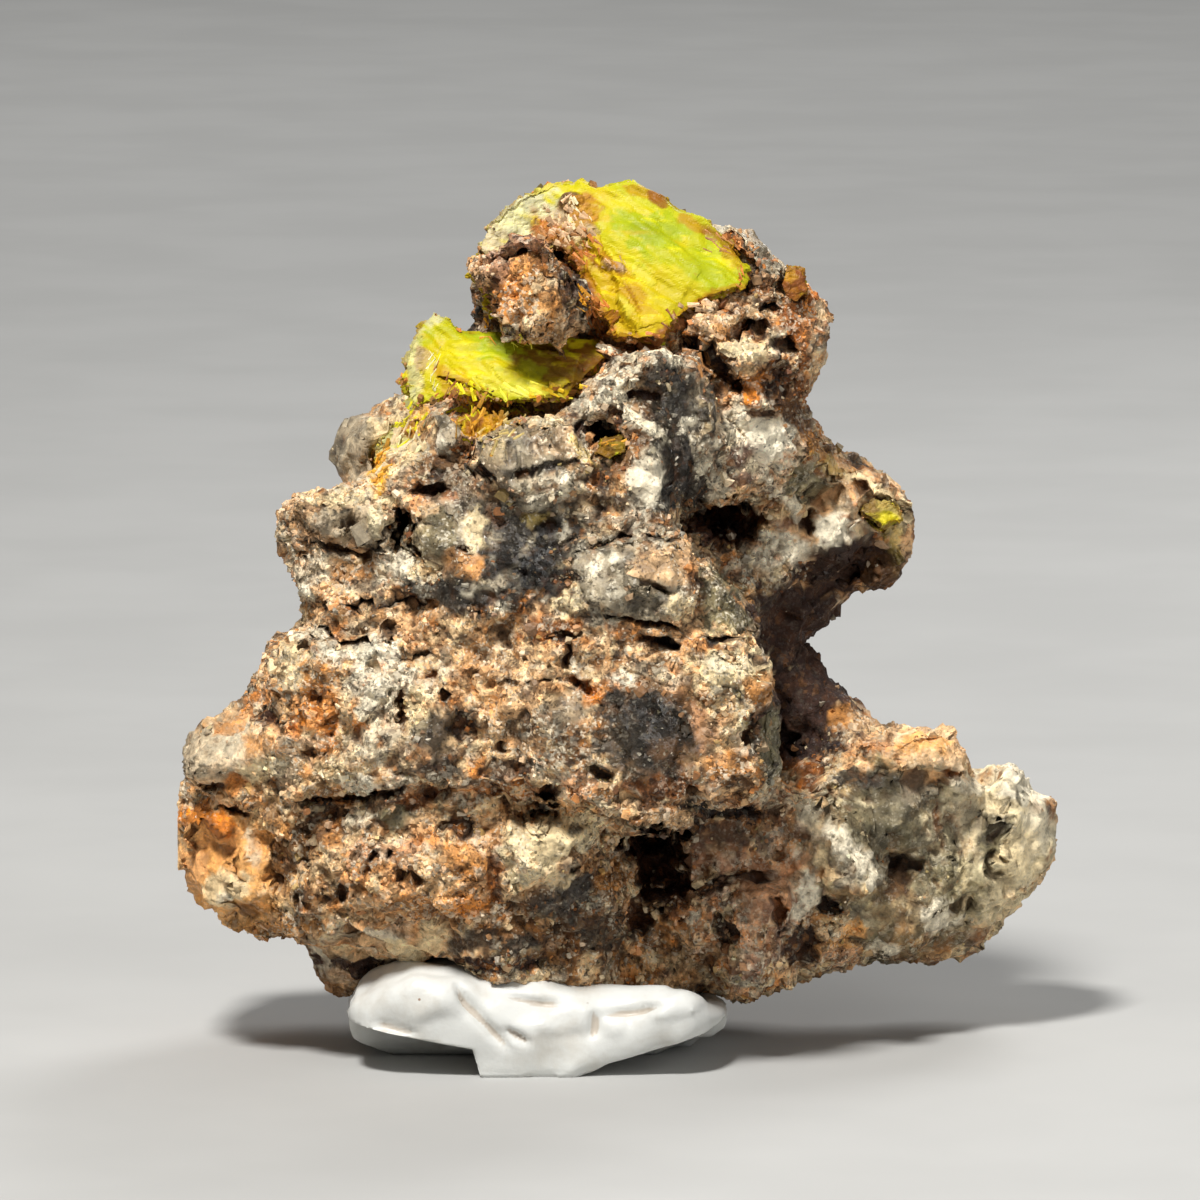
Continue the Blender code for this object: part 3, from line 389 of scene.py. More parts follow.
# Many dark spots below, mostly pits and cracks, are painted shade: their darkness stands for the shade in
# cracks, pits, hollows and under ledges. The larger ones, and the few painted shadows, are marked where they
# stand.
SPOTS = [Spot(*row) for row in (
    # brown knob
    (-1.5, 32.3, 1.4, 0.8, PLUM_TAN, 0.9),
    (-2.7, 31.6, 0.9, 1.0, PLUM_TAN, 0.8),
    (-2.6, 29.9, 0.8, 0.9, BROWN, 0.7),
    (-3.3, 31.3, 0.5, 0.7, TAN, 0.6, 0, 0.1),
    (-1.2, 30.7, 0.9, 0.9, OCHRE, 0.6, 0, 0.15),
    (-2.0, 30.2, 0.5, 0.7, ORANGE, 0.7, 0, 0.1),
    (-0.5, 30.9, 0.4, 0.4, CREAM, 0.8, 0, 0.15),
    # the knob's right flank: dark brown, partly its own colour and partly painted shade on the side turned
    # from the light
    (0.45, 31.0, 0.75, 1.9, DEEP_BROWN, 0.95, 25, -0.2),
    (0.75, 29.5, 0.5, 0.4, GREY, 0.8, 0, 0.1),
    (-0.6, 29.1, 1.5, 0.35, TAN, 0.6, 5, 0.1),
    (-1.3, 30.2, 1.2, 0.6, OCHRE, 0.5, 30, 0.1),
    (-0.7, 31.6, 0.9, 0.5, OCHRE, 0.5, -20),
    (-1.9, 29.0, 0.3, 0.3, WHITE, 0.8, 0, 0.1),
    # a painted shadow under the knob, over a shallow pit
    (0.2, 28.5, 1.2, 0.22, DARK, 1.0, 5, -0.6),
    (1.5, 29.6, 1.0, 0.3, ORANGE, 0.9, -50, 0.1),
    (-3.7, 29.7, 0.6, 0.6, SMOKY, 1.0, 0, 0.1),
    (-4.1, 29.9, 0.2, 0.2, WHITE, 0.7, 0, 0.1),
    # right of the top
    (6.2, 33.4, 0.4, 0.3, FROST, 0.9, 0, 0.1),
    (6.6, 32.5, 1.1, 0.3, ORANGE, 0.85, -40, 0.1),
    (8.2, 32.0, 0.9, 0.5, GREY, 0.8, -45, 0.1),
    (8.0, 31.0, 0.5, 0.4, BROWN, 0.8, 0, -0.2),
    (9.3, 31.2, 0.4, 0.6, STRAW, 0.7),
    (6.0, 29.7, 0.7, 0.5, TAN, 0.8, -20, 0.15),
    (6.9, 30.4, 0.6, 0.3, TAN, 0.7, 0, 0.1),
    (6.5, 28.9, 0.4, 0.8, OCHRE, 0.8, 30, 0.1),
    # cavities: pits whose dark colour is painted shade
    (7.7, 29.1, 0.45, 0.35, DARK, 1.0, 0, -1.0),
    (8.3, 30.0, 0.40, 0.28, DARK, 1.0, 20, -0.8),
    (8.9, 28.4, 0.50, 0.45, DARK, 1.0, 0, -0.9),
    (6.9, 31.3, 0.22, 0.22, DEEP_BROWN, 0.9, 0, -0.5),
    (6.4, 30.0, 0.16, 0.30, DEEP_BROWN, 0.9, 0, -0.4),
    (8.4, 28.9, 0.4, 0.3, GREY, 0.8, 0, 0.15),
    (7.2, 28.3, 1.0, 0.32, CREAM, 0.9, -8, 0.3),
    (7.4, 27.6, 0.8, 0.3, TAN, 0.7, -10, 0.1),
    (7.6, 26.9, 0.8, 0.6, ORANGE, 0.95, 0, 0.25),
    # a gap between lumps, its dark colour painted shade
    (5.9, 27.9, 1.5, 0.4, DARK, 1.0, -42, -1.0),
    (6.0, 27.5, 0.7, 0.18, OCHRE, 0.9, -42, 0.1),
    (9.4, 29.4, 0.6, 1.2, RUST, 0.8, 0, 0.1),
    (9.9, 30.5, 0.4, 0.5, ORANGE, 0.85, 0, 0.1),
    (10.2, 28.0, 0.3, 0.3, TAN, 0.8, 0, 0.1),
    (8.6, 27.0, 0.5, 0.8, DEEP_BROWN, 0.95, 0, -0.4),
    (9.5, 26.4, 0.7, 0.9, RUST, 0.8),
    (2.6, 28.4, 1.4, 0.25, OCHRE, 0.85, 0, 0.1),
    # neck and the lobe behind it
    (-4.2, 26.6, 0.3, 0.8, RUST, 0.95, 20, 0.2),
    (-3.4, 26.2, 0.5, 0.5, TAN, 0.7, 0, 0.1),
    (-2.8, 25.7, 1.4, 1.0, GOLDEN, 0.85, 0, 0.1),
    (-1.6, 26.1, 1.5, 0.32, TAN, 0.7, -8, 0.5),
    (-3.4, 26.6, 0.9, 0.4, OCHRE, 0.7, -20, 0.4),
    (0.4, 26.1, 0.9, 0.3, TAN, 0.6, 8, 0.4),
    (-4.5, 25.3, 0.5, 0.8, GREY, 0.95, 0, 0.4),
    (-4.7, 24.8, 0.25, 0.3, WHITE, 0.6, 0, 0.1),
    (-5.6, 24.7, 0.6, 0.8, TAN, 0.7),
    (-4.4, 24.0, 0.9, 0.4, BROWN, 0.85, 0, 0.1),
    (-6.6, 23.3, 1.0, 0.4, GREY, 0.7, 25, 0.1),
    (-8.2, 24.6, 1.3, 1.5, GREY, 0.9),
    (-6.4, 25.0, 1.1, 1.3, CREAM, 0.85),
    (-7.1, 23.7, 0.4, 0.9, GOLDEN, 0.9),
    (-5.6, 25.6, 0.4, 0.8, GOLDEN, 0.7),
    (-5.05, 22.8, 0.70, 0.36, DEEP_BROWN, 1.0, 15, -0.9),
    (-6.1, 21.3, 0.60, 0.85, DEEP_BROWN, 1.0, 25, -1.3),
    (-5.5, 20.3, 0.55, 0.14, DEEP_BROWN, 0.95, -42, -0.7),
    (-4.9, 23.5, 0.5, 0.18, DEEP_BROWN, 0.8, 20, -0.3),
    (-3.5, 24.0, 0.30, 0.45, DARK, 0.95, -35, -0.7),
    (-2.9, 23.4, 0.55, 0.22, DARK, 1.0, -30, -0.6),
    (-4.3, 22.6, 0.3, 0.4, RUST, 0.7, 0, 0.05),
    # quartz chunk
    (-0.9, 24.6, 1.9, 1.0, GREY, 0.9, -10, 0.3),
    (-0.2, 24.7, 0.9, 0.6, TAN, 0.35, -10),
    (-0.6, 25.6, 1.0, 0.25, CREAM, 0.5, -15, 0.1),
    (0.9, 24.3, 0.9, 0.22, STRAW, 0.6, -55, 0.1),
    (-0.5, 23.6, 1.5, 0.22, SMOKY, 0.9, 12, -0.3),
    (-1.0, 23.0, 1.3, 0.3, FROST, 0.5, 10, 0.1),
    (-2.3, 24.2, 0.3, 0.4, CREAM, 0.4, 0, 0.1),
    # dark quartz under it
    (-1.4, 20.4, 2.1, 2.0, SMOKY, 0.95),
    (-0.9, 19.9, 1.6, 1.1, DARK, 0.7, 20),
    (-1.0, 19.9, 1.0, 0.5, DARK, 0.7, 25, 0.1),
    (0.5, 19.6, 0.6, 1.0, SMOKY, 0.85),
    (-1.5, 22.2, 0.9, 0.4, GREY, 0.8, 10, 0.1),
    (-0.9, 22.2, 0.4, 0.25, WHITE, 0.6, 10, 0.1),
    (0.3, 22.8, 0.5, 0.6, WHITE, 0.7, 0, 0.15),
    (-1.1, 21.6, 0.5, 0.25, STRAW, 0.5, 0, 0.05),
    (0.2, 21.0, 0.25, 0.5, FROST, 0.7, 15, 0.1),
    (-0.5, 21.2, 0.5, 0.35, DARK, 0.8, 0, -0.2),
    (-1.3, 20.4, 0.7, 0.1, GREY, 0.6, 60, 0.05),
    (-2.5, 20.9, 0.3, 0.5, GREY, 0.7),
    (-2.2, 19.1, 0.5, 0.3, GREY, 0.7, 0, 0.1),
    (-4.2, 18.6, 2.5, 0.75, SMOKY, 0.95, -6),
    (-3.0, 18.9, 0.8, 0.3, FROST, 0.5, 20),
    (-2.0, 18.4, 1.5, 0.4, SMOKY, 0.75),
    (-2.4, 18.05, 0.3, 0.22, WHITE, 0.9, 0, 0.1),
    (-5.4, 18.7, 0.4, 0.3, GREY, 0.7, 0, 0.1),
    (0.4, 18.4, 0.7, 0.5, CREAM, 0.85, 0, 0.15),
    # left shoulder
    (-8.4, 22.45, 1.9, 0.18, CREAM, 0.9, -3, 0.2),
    (-10.2, 21.9, 0.7, 0.6, TAN, 0.7, 0, 0.1),
    (-8.4, 21.2, 1.7, 0.8, GREY, 0.7),
    (-7.2, 21.5, 0.35, 0.55, STONE, 0.8, 0, 0.2),
    (-9.6, 20.9, 1.0, 0.3, OCHRE, 0.5, -20),
    (-8.7, 20.4, 1.2, 0.12, DEEP_BROWN, 0.95, -18, -0.7),
    (-7.3, 20.5, 0.9, 0.10, DEEP_BROWN, 0.9, 52, -0.7),
    (-9.6, 19.6, 0.8, 0.7, FROST, 0.7),
    (-8.0, 19.6, 0.9, 0.5, OCHRE, 0.7),
    (-6.4, 19.8, 0.9, 0.7, WHITE, 0.85, -25, 0.1),
    (-6.8, 19.3, 0.7, 0.4, FROST, 0.7, -25),
    (-10.3, 18.7, 0.5, 0.3, WHITE, 0.8, 0, 0.1),
    (-7.7, 18.8, 0.9, 0.3, GREY, 0.7, -20),
    (-7.2, 18.25, 1.5, 0.10, DARK, 0.95, 5, -0.6),
    (-4.9, 21.0, 0.8, 1.0, GREEN_GREY, 0.7),
    (-5.3, 21.9, 0.5, 0.3, TAN, 0.6, 0, 0.1),
    (-3.9, 21.4, 1.3, 0.22, GREY, 0.9, -65, 0.2),
    (-3.3, 21.2, 0.4, 0.9, CREAM, 0.6, 0, 0.1),
    (-3.8, 19.8, 0.8, 0.5, OCHRE, 0.7, 0, 0.05),
    (-5.2, 19.5, 0.7, 0.3, CREAM, 0.6, 0, 0.05),
    (-3.7, 20.3, 0.3, 0.12, DEEP_BROWN, 0.8, -30, -0.4),
    # central peak
    (1.6, 26.5, 1.2, 0.6, FROST, 0.95, 22, 0.3),
    (1.0, 26.2, 0.4, 0.3, WHITE, 0.8, 0, 0.1),
    (1.2, 26.8, 0.4, 0.3, TAN, 0.5, 0, 0.1),
    (1.5, 25.1, 1.0, 0.35, DEEP_BROWN, 1.0, -15, -0.8),
    (2.2, 25.8, 0.4, 0.3, DEEP_BROWN, 0.9, 20, -0.4),
    (3.4, 25.3, 1.2, 0.22, FROST, 0.9, -38, 0.3),
    (3.2, 24.5, 0.5, 0.6, BROWN, 0.85, 0, -0.1),
    (3.2, 26.5, 0.9, 0.22, DEEP_BROWN, 0.95, -12, -0.4),
    (4.5, 26.2, 0.5, 0.6, SMOKY, 0.8),
    (5.2, 25.4, 0.35, 0.28, WHITE, 0.95, 0, 0.2),
    (5.3, 26.6, 0.4, 0.8, GREY, 0.6, 10, 0.1),
    (3.6, 28.0, 1.4, 0.4, FROST, 0.8, -8, 0.2),
    (2.4, 27.2, 0.8, 0.3, FROST, 0.9, 30, 0.1),
    (2.1, 27.75, 0.3, 0.28, DEEP_BROWN, 0.95, 0, -0.5),
    (4.7, 27.3, 0.9, 0.3, DARK, 0.7, -38),
    (1.4, 23.2, 0.6, 0.5, DARK, 0.7, 0, -0.2),
    (3.4, 23.1, 0.7, 0.9, WHITE, 0.7, 0, 0.1),
    (3.5, 24.0, 0.5, 0.5, FROST, 0.6),
    (2.4, 22.2, 0.8, 0.4, SMOKY, 0.8),
    (3.0, 21.8, 0.5, 0.4, WHITE, 0.6, 0, 0.1),
    (4.6, 23.2, 0.7, 1.2, DARK, 0.7, 0, -0.15),
    (5.6, 24.2, 0.4, 0.9, GREY, 0.7, 0, 0.1),
    (3.2, 21.2, 1.1, 0.4, FROST, 0.7, -10, 0.25),
    (2.0, 20.65, 0.9, 0.10, DARK, 0.95, 22, -0.6),
    (3.9, 20.75, 0.7, 0.08, DARK, 0.9, -5, -0.4),
    # front slab
    (2.0, 19.6, 1.4, 0.9, GREY, 0.95, 0, 0.1),
    (1.3, 19.5, 0.22, 0.28, WHITE, 0.9, 0, 0.05),
    (2.2, 20.05, 0.4, 0.16, WHITE, 0.7, 0, 0.05),
    (2.4, 19.4, 0.16, 0.14, WHITE, 0.8),
    (4.0, 19.6, 1.0, 0.7, TAN, 0.75, -10, 0.2),
    (4.6, 20.3, 0.6, 0.3, TAN, 0.7, 0, 0.1),
    (3.6, 18.95, 0.7, 0.12, BROWN, 0.9, -25, -0.4),
    (2.6, 18.4, 1.9, 0.8, GREY, 0.95, -15, 0.2),
    (2.4, 18.7, 0.4, 0.12, WHITE, 0.6),
    (2.2, 19.1, 2.1, 1.5, SMOKY, 0.22, -8),
    (4.6, 18.0, 0.6, 0.5, CREAM, 0.8, -20, 0.2),
    (3.4, 17.45, 1.6, 0.10, DARK, 0.95, -12, -0.7),
    (3.9, 16.75, 1.1, 0.20, DARK, 1.0, -14, -1.0),
    (6.3, 18.3, 0.9, 1.2, GREEN_GREY, 0.95, 0, 0.15),
    (7.2, 17.6, 0.5, 0.8, GREEN_GREY, 0.9),
    (5.3, 19.2, 0.4, 0.4, BROWN, 0.9, 0, -0.2),
    (6.2, 16.8, 0.8, 0.12, DARK, 0.95, 5, -0.6),
    # pale flank, hollow and right lobe
    (6.9, 25.7, 0.6, 1.0, FROST, 0.8),
    (8.2, 24.9, 0.9, 0.9, WHITE, 1.0, 0, 0.2),
    (7.6, 25.8, 0.6, 0.5, WHITE, 0.8, 0, 0.1),
    (7.2, 24.1, 0.6, 0.55, PLUM, 0.85, 0, 0.1),
    (7.2, 24.3, 0.16, 0.14, WHITE, 0.8, 0, 0.05),
    (6.3, 23.2, 0.7, 0.7, FROST, 0.8, 0, 0.2),
    (7.3, 23.1, 0.5, 0.35, PLUM, 0.7, 0, -0.1),
    (8.0, 25.9, 0.6, 0.14, BROWN, 0.8, -10, -0.4),
    (8.8, 22.6, 1.0, 0.22, WHITE, 0.9, -42, 0.3),
    (8.9, 21.6, 0.4, 0.3, PLUM, 0.7, 0, 0.1),
    # the hollow between the peak and the right lobe, its dark colour painted shade
    (6.5, 21.4, 1.7, 0.9, DARK, 1.0, 0, -1.8),
    (5.6, 20.9, 0.5, 0.5, PLUM, 0.9, 0, 0.7),
    (7.6, 21.5, 0.7, 0.25, RUST, 0.7, 0, 0.2),
    (8.6, 20.9, 0.9, 0.22, WHITE, 1.0, 0, 0.25),
    (9.0, 20.2, 1.1, 0.5, WHITE, 0.95, 15, 0.25),
    (10.8, 21.2, 0.9, 0.8, WHITE, 1.0, 0, 0.25),
    (9.9, 21.5, 0.3, 0.6, DEEP_BROWN, 0.95, 0, -0.7),
    (10.0, 23.1, 0.8, 0.8, GREEN_GREY, 0.9),
    (10.8, 24.0, 1.2, 0.35, STRAW, 0.5, -40, 0.1),
    (12.4, 22.9, 1.6, 0.4, CREAM, 0.8, -28, 0.15),
    (12.1, 22.8, 0.6, 0.25, BROWN, 0.9, -20, -0.6),
    (12.9, 21.7, 0.5, 0.4, LEMON, 0.6),
    (13.6, 21.9, 0.4, 0.6, CREAM, 0.9),
    # dark brown under the right lobe and down the recess, partly its own colour and partly painted shade
    (11.7, 19.7, 1.9, 1.1, UMBER, 1.0),
    (12.4, 20.5, 0.9, 0.5, UMBER, 0.9, -20),
    (13.5, 20.4, 0.3, 0.9, STRAW, 0.7, 0, 0.1),
    (12.9, 19.4, 1.2, 0.40, BROWN, 0.8, 25),
    (9.4, 18.0, 1.8, 1.1, UMBER, 1.0, 0, 0.1),
    (9.3, 26.0, 0.9, 0.6, BROWN, 0.9, -45),
    (10.3, 24.8, 0.6, 0.5, OCHRE, 0.8, -45),
    # whitish block
    (-9.7, 16.9, 0.7, 0.3, FROST, 0.9, 0, 0.1),
    (-8.0, 16.3, 1.8, 0.28, WHITE, 0.9, -3, 0.1),
    (-7.9, 16.62, 1.7, 0.09, DARK, 1.0, -3, -0.8),
    (-9.1, 17.0, 0.4, 0.07, DARK, 0.9, -45, -0.4),
    (-7.2, 15.2, 1.5, 1.2, WHITE, 0.85, 0, 0.1),
    (-6.9, 13.5, 1.0, 1.1, FROST, 0.7),
    (-9.6, 15.2, 0.9, 0.7, OCHRE, 0.85, 0, -0.05),
    (-10.6, 15.7, 0.6, 0.9, CREAM, 0.7),
    (-9.5, 14.5, 0.3, 0.25, SMOKY, 0.9, 0, -0.4),
    (-9.3, 13.5, 1.4, 1.0, ORANGE, 0.75),
    (-10.2, 12.8, 0.8, 0.3, GREY, 0.7, 0, -0.05),
    (-9.9, 12.2, 0.3, 0.22, BROWN, 0.9, 0, -0.4),
    (-8.5, 13.7, 0.3, 1.1, CREAM, 0.6, 0, 0.05),
    (-11.3, 13.7, 0.5, 0.4, DEEP_BROWN, 1.0, 0, -0.5),
    (-11.9, 14.4, 0.8, 0.4, ORANGE, 0.7, 30),
    (-12.9, 13.0, 0.9, 0.5, FROST, 0.8, 20),
    (-13.9, 12.4, 1.6, 1.0, GREY, 0.75, 20, 0.1),
    (-13.2, 13.3, 0.6, 0.3, OCHRE, 0.7, 20),
    (-12.0, 12.7, 0.6, 0.35, OCHRE, 0.6),
    (-11.8, 11.6, 0.9, 0.5, CREAM, 0.8),
    (-10.8, 11.2, 0.7, 0.7, GREY, 0.7, 0, -0.05),
    (-13.7, 10.9, 0.4, 0.32, SMOKY, 0.9, 0, -0.7),
    (-13.0, 10.9, 0.4, 0.5, ORANGE, 0.7),
    (-12.9, 10.0, 0.9, 0.15, SMOKY, 0.9, -10, -0.6),
    (-9.0, 11.6, 0.6, 0.5, CREAM, 0.7),
    (-7.8, 11.1, 0.9, 0.35, WHITE, 0.95, -5, 0.1),
    (-6.2, 11.1, 0.8, 0.2, WHITE, 0.6, 0, 0.05),
    (-7.6, 12.5, 1.3, 0.5, GREY, 0.85),
    (-6.4, 12.7, 1.0, 0.5, GREY, 0.6),
    (-5.6, 14.2, 0.5, 0.9, CREAM, 0.9, 8, 0.1),
    (-6.15, 14.0, 0.27, 0.80, BROWN, 0.95, 8, -0.8),
    (-5.6, 16.15, 0.6, 0.16, DEEP_BROWN, 0.8, 12, -0.5),
    (-5.05, 15.35, 0.30, 0.22, RUST, 0.9, 20, -0.4),
    (-6.7, 17.1, 0.30, 0.28, BROWN, 0.8, 0, -0.4),
    (-4.5, 14.5, 0.28, 0.35, DARK, 0.9, 30, -0.5),
    (-5.0, 13.2, 0.9, 0.7, SMOKY, 0.8),
    (-3.8, 13.2, 0.45, 0.6, DARK, 0.95, 10, -0.5),
    (-4.7, 11.7, 1.0, 0.6, SMOKY, 0.8),
    (-3.2, 11.7, 0.4, 0.4, ORANGE, 0.7),
    (-2.0, 11.7, 1.2, 0.4, DEEP_BROWN, 0.85, 0, -0.25),
    (-2.3, 12.6, 0.25, 0.25, DEEP_BROWN, 0.9, 0, -0.5),
    (-3.2, 14.1, 0.3, 0.2, GREY, 0.7, 0, -0.2),
    (-1.5, 13.5, 0.5, 0.5, SMOKY, 0.7, 0, -0.1),
    (-1.9, 15.15, 0.35, 0.12, DEEP_BROWN, 0.9, 0, -0.4),
    (-2.4, 17.2, 0.4, 0.3, BROWN, 0.7, 0, -0.2),
    # a painted shadow along the undercut below the block, dark at the left and rust-coloured to the right
    (-8.0, 10.55, 2.2, 0.16, DARK, 0.95, 6, -0.9),
    (-5.6, 10.4, 1.6, 0.2, RUST, 0.9, 15, -0.3),
    (-6.5, 9.7, 1.0, 0.42, GREEN_GREY, 0.95, 0, 0.25),
    (-7.9, 9.6, 0.5, 0.35, FROST, 0.8, 0, 0.1),
    (-9.2, 9.8, 1.0, 0.4, SMOKY, 0.85, 0, -0.4),
    # front ledge
    (-0.4, 17.2, 1.2, 0.4, RUST, 0.8, 5),
    (0.1, 16.9, 0.6, 0.2, DEEP_BROWN, 0.9, 0, -0.5),
    (0.35, 16.2, 0.18, 0.6, DEEP_BROWN, 0.9, -12, -0.8),
    (0.9, 15.0, 0.8, 0.16, RUST, 0.95, -45, -0.7),
    (1.4, 14.7, 0.4, 0.4, ORANGE, 0.8),
    (-0.6, 15.2, 0.8, 0.06, DARK, 0.9, 8, -0.4),
    (0.4, 14.1, 1.0, 0.55, GREY, 0.6, 0, 0.05),
    (0.8, 12.9, 0.8, 0.5, BROWN, 0.7),
    (2.5, 15.2, 0.5, 0.35, WHITE, 0.9, 0, 0.1),
    (3.6, 15.7, 1.1, 0.35, GREY, 0.8, -10, 0.15),
    (2.0, 15.0, 0.5, 0.25, ORANGE, 0.7, -30),
    (2.5, 14.4, 0.6, 0.4, SMOKY, 0.9),
    (4.0, 14.3, 0.9, 0.3, DARK, 0.85, -25),
    (3.5, 13.1, 2.0, 1.7, SMOKY, 0.95, 0, 0.1),
    (3.6, 13.9, 1.2, 0.6, DARK, 0.6, -20),
    (4.4, 12.3, 1.0, 0.6, BROWN, 0.5, 0, 0.05),
    (1.7, 11.6, 0.4, 0.35, DARK, 0.9, 0, -0.5),
    (6.8, 15.7, 1.7, 0.75, CREAM, 1.0, -8, 0.2),
    (6.4, 15.9, 0.9, 0.3, WHITE, 0.6, -8),
    (5.4, 16.3, 0.5, 0.2, BROWN, 0.8),
    (5.9, 15.2, 0.6, 0.4, CREAM, 0.8, 0, 0.05),
    (6.7, 14.6, 0.7, 0.3, SMOKY, 0.9, -10, -0.05),
    (7.9, 14.9, 0.4, 0.7, OCHRE, 0.85, -20, 0.05),
    (5.6, 13.4, 0.6, 0.8, PINK, 0.5),
    (6.9, 13.6, 0.22, 0.9, CREAM, 0.9, 25, 0.2),
    (7.5, 12.9, 0.3, 0.9, DARK, 0.85, 8, -0.35),
    (8.25, 12.6, 0.4, 1.7, GREEN_GREY, 1.0, 0, 0.05),
    (6.4, 11.8, 0.9, 0.6, OCHRE, 0.6),
    (4.2, 11.0, 1.6, 0.35, RUST, 0.8, 0, 0.05),
    (0.8, 11.1, 0.8, 0.45, PINK, 0.8, 0, 0.05),
    (-0.4, 10.5, 0.4, 0.32, DARK, 1.0, -30, -1.2),
    (-2.0, 10.8, 1.4, 0.4, RUST, 0.8),
    (5.8, 10.6, 1.2, 0.25, TAN, 0.7, 5, 0.1),
    (4.2, 9.7, 1.1, 0.4, TAN, 0.9, 0, 0.15),
    # the deep recess right of the ledge, its darkness painted shade
    (9.6, 14.2, 1.2, 0.6, DEEP_BROWN, 0.8, -10),
    (9.2, 12.6, 0.5, 1.2, DARK, 1.0, 0, -0.9),
    (9.8, 11.5, 0.7, 0.4, RUST, 0.8, 0, 0.1),
    # lobe at the lower left
    (-13.4, 8.8, 1.3, 0.8, PEACH, 0.8, -20, 0.1),
    (-13.6, 7.6, 0.9, 1.0, OCHRE, 0.5),
    (-14.1, 9.5, 1.1, 0.55, ORANGE, 1.0, -10, 0.15),
    (-13.4, 9.2, 0.8, 0.3, RUST, 0.6, -20),
    (-14.6, 7.8, 0.5, 1.3, HONEY, 0.7),
    (-14.0, 8.6, 0.9, 0.5, OCHRE, 0.6, -20),
    (-13.3, 6.8, 0.8, 0.7, CREAM, 0.8, 0, 0.1),
    (-13.2, 6.5, 0.3, 0.3, WHITE, 0.8),
    (-12.2, 8.6, 0.30, 0.8, FROST, 0.7, 10, 0.1),
    (-12.5, 5.8, 0.6, 0.4, BROWN, 0.8),
    (-12.0, 6.0, 0.7, 0.35, OCHRE, 0.85, -10, -0.15),
    (-11.4, 8.9, 0.8, 0.8, OCHRE, 0.7, -30, 0.1),
    (-10.5, 8.3, 0.8, 1.6, BROWN, 0.85, -30, -0.4),
    (-10.2, 6.4, 0.5, 0.3, BROWN, 0.85, 0, -0.5),
    (-10.5, 5.2, 1.0, 0.4, OCHRE, 0.75),
    (-9.6, 3.8, 0.5, 0.3, FROST, 0.8, -45, 0.1),
    # pinkish granular base
    # a brown band of painted shade
    (-8.3, 9.0, 1.4, 0.35, BROWN, 0.85, 10, -0.2),
    (-7.0, 8.5, 1.3, 0.6, PINK, 0.9, 0, 0.2),
    (-7.0, 8.9, 0.9, 0.25, CREAM, 0.5, 0, 0.1),
    (-7.4, 8.1, 0.20, 0.28, DEEP_BROWN, 0.9, 0, -0.6),
    (-6.75, 8.2, 0.15, 0.28, DEEP_BROWN, 0.9, 0, -0.5),
    (-7.3, 7.1, 0.3, 0.35, CREAM, 0.6, 0, 0.15),
    (-8.6, 6.7, 0.28, 0.42, DEEP_BROWN, 0.9, 0, -0.6),
    (-6.2, 7.4, 0.25, 0.28, BROWN, 0.9, 30, -0.5),
    (-5.6, 7.2, 0.25, 0.3, BROWN, 0.9, 0, -0.5),
    (-7.5, 6.2, 0.8, 0.4, TAN, 0.7),
    (-3.7, 7.9, 0.9, 0.9, OCHRE, 0.7, 0, 0.1),
    (-4.0, 9.4, 0.7, 0.5, DEEP_BROWN, 0.85, 0, -0.35),
    (-5.4, 9.6, 0.6, 0.35, TAN, 0.8, 0, 0.1),
    (-2.8, 9.6, 0.6, 0.4, TAN, 0.8, 0, 0.05),
    (-2.5, 7.4, 0.25, 1.2, RUST, 0.85, 0, -0.2),
    (-3.6, 6.2, 0.7, 0.6, ORANGE, 0.6, 0, 0.05),
    (-7.2, 4.9, 0.8, 0.45, WHITE, 0.9, -20, 0.15),
    (-6.2, 4.4, 0.9, 0.25, CREAM, 0.8, -15, 0.05),
    (-5.0, 5.0, 0.6, 0.45, CREAM, 0.7, 0, 0.05),
    # a painted shadow band along the rock's lower edge, above the putty
    (-7.6, 3.4, 2.0, 0.5, DEEP_BROWN, 1.0, -8, -0.3),
    (-3.0, 3.6, 3.0, 0.35, DEEP_BROWN, 1.0, 0, -0.3),
    (-2.6, 4.6, 2.2, 0.5, SMOKY, 0.8),
    # cream knob
    (-1.0, 8.6, 1.3, 1.1, CREAM, 1.0, 20, 0.8),
    (0.4, 9.2, 1.4, 0.75, CREAM, 1.0, 10, 0.7),
    (-1.6, 7.6, 0.6, 0.9, CREAM, 1.0, 0, 0.5),
    (-1.5, 8.0, 0.3, 0.8, WHITE, 0.5),
    (-0.6, 9.0, 1.2, 0.7, CREAM, 0.9, 10),
    (0.6, 9.35, 0.22, 0.18, GREY, 0.85),
    (1.1, 8.7, 0.25, 0.3, GREY, 0.5),
    (-0.2, 9.9, 0.9, 0.16, OCHRE, 0.7, 5, -0.2),
    (1.0, 6.8, 1.3, 0.75, SMOKY, 0.9, 25, 0.1),
    (-0.2, 6.0, 1.0, 0.5, SMOKY, 0.7),
    (1.9, 7.1, 0.7, 0.5, OCHRE, 0.85, 20, 0.1),
    (1.5, 5.0, 1.0, 0.6, SMOKY, 0.6),
    # under the ledge: the dark spots here are painted shade, in the cave and below the ledge
    (4.0, 7.7, 1.2, 1.7, DARK, 1.0, 8, -2.2),
    (3.0, 5.6, 0.5, 0.8, DARK, 0.9, 0, -0.8),
    (6.6, 9.1, 1.7, 0.6, DEEP_BROWN, 0.7),
    (6.8, 9.9, 1.7, 0.30, DARK, 0.95, -8, -0.4),
    (6.9, 7.8, 1.3, 0.35, PLUM_TAN, 0.6, 4, 0.2),
    (5.4, 7.3, 0.25, 0.6, PLUM_TAN, 0.6, 0, 0.2),
    (6.9, 7.0, 1.6, 0.25, DARK, 0.85, 10, -0.5),
    (8.2, 6.7, 1.1, 0.40, PINK, 0.6, 14, 0.25),
    (7.8, 5.2, 0.5, 1.0, PINK, 0.5, 10, 0.25),
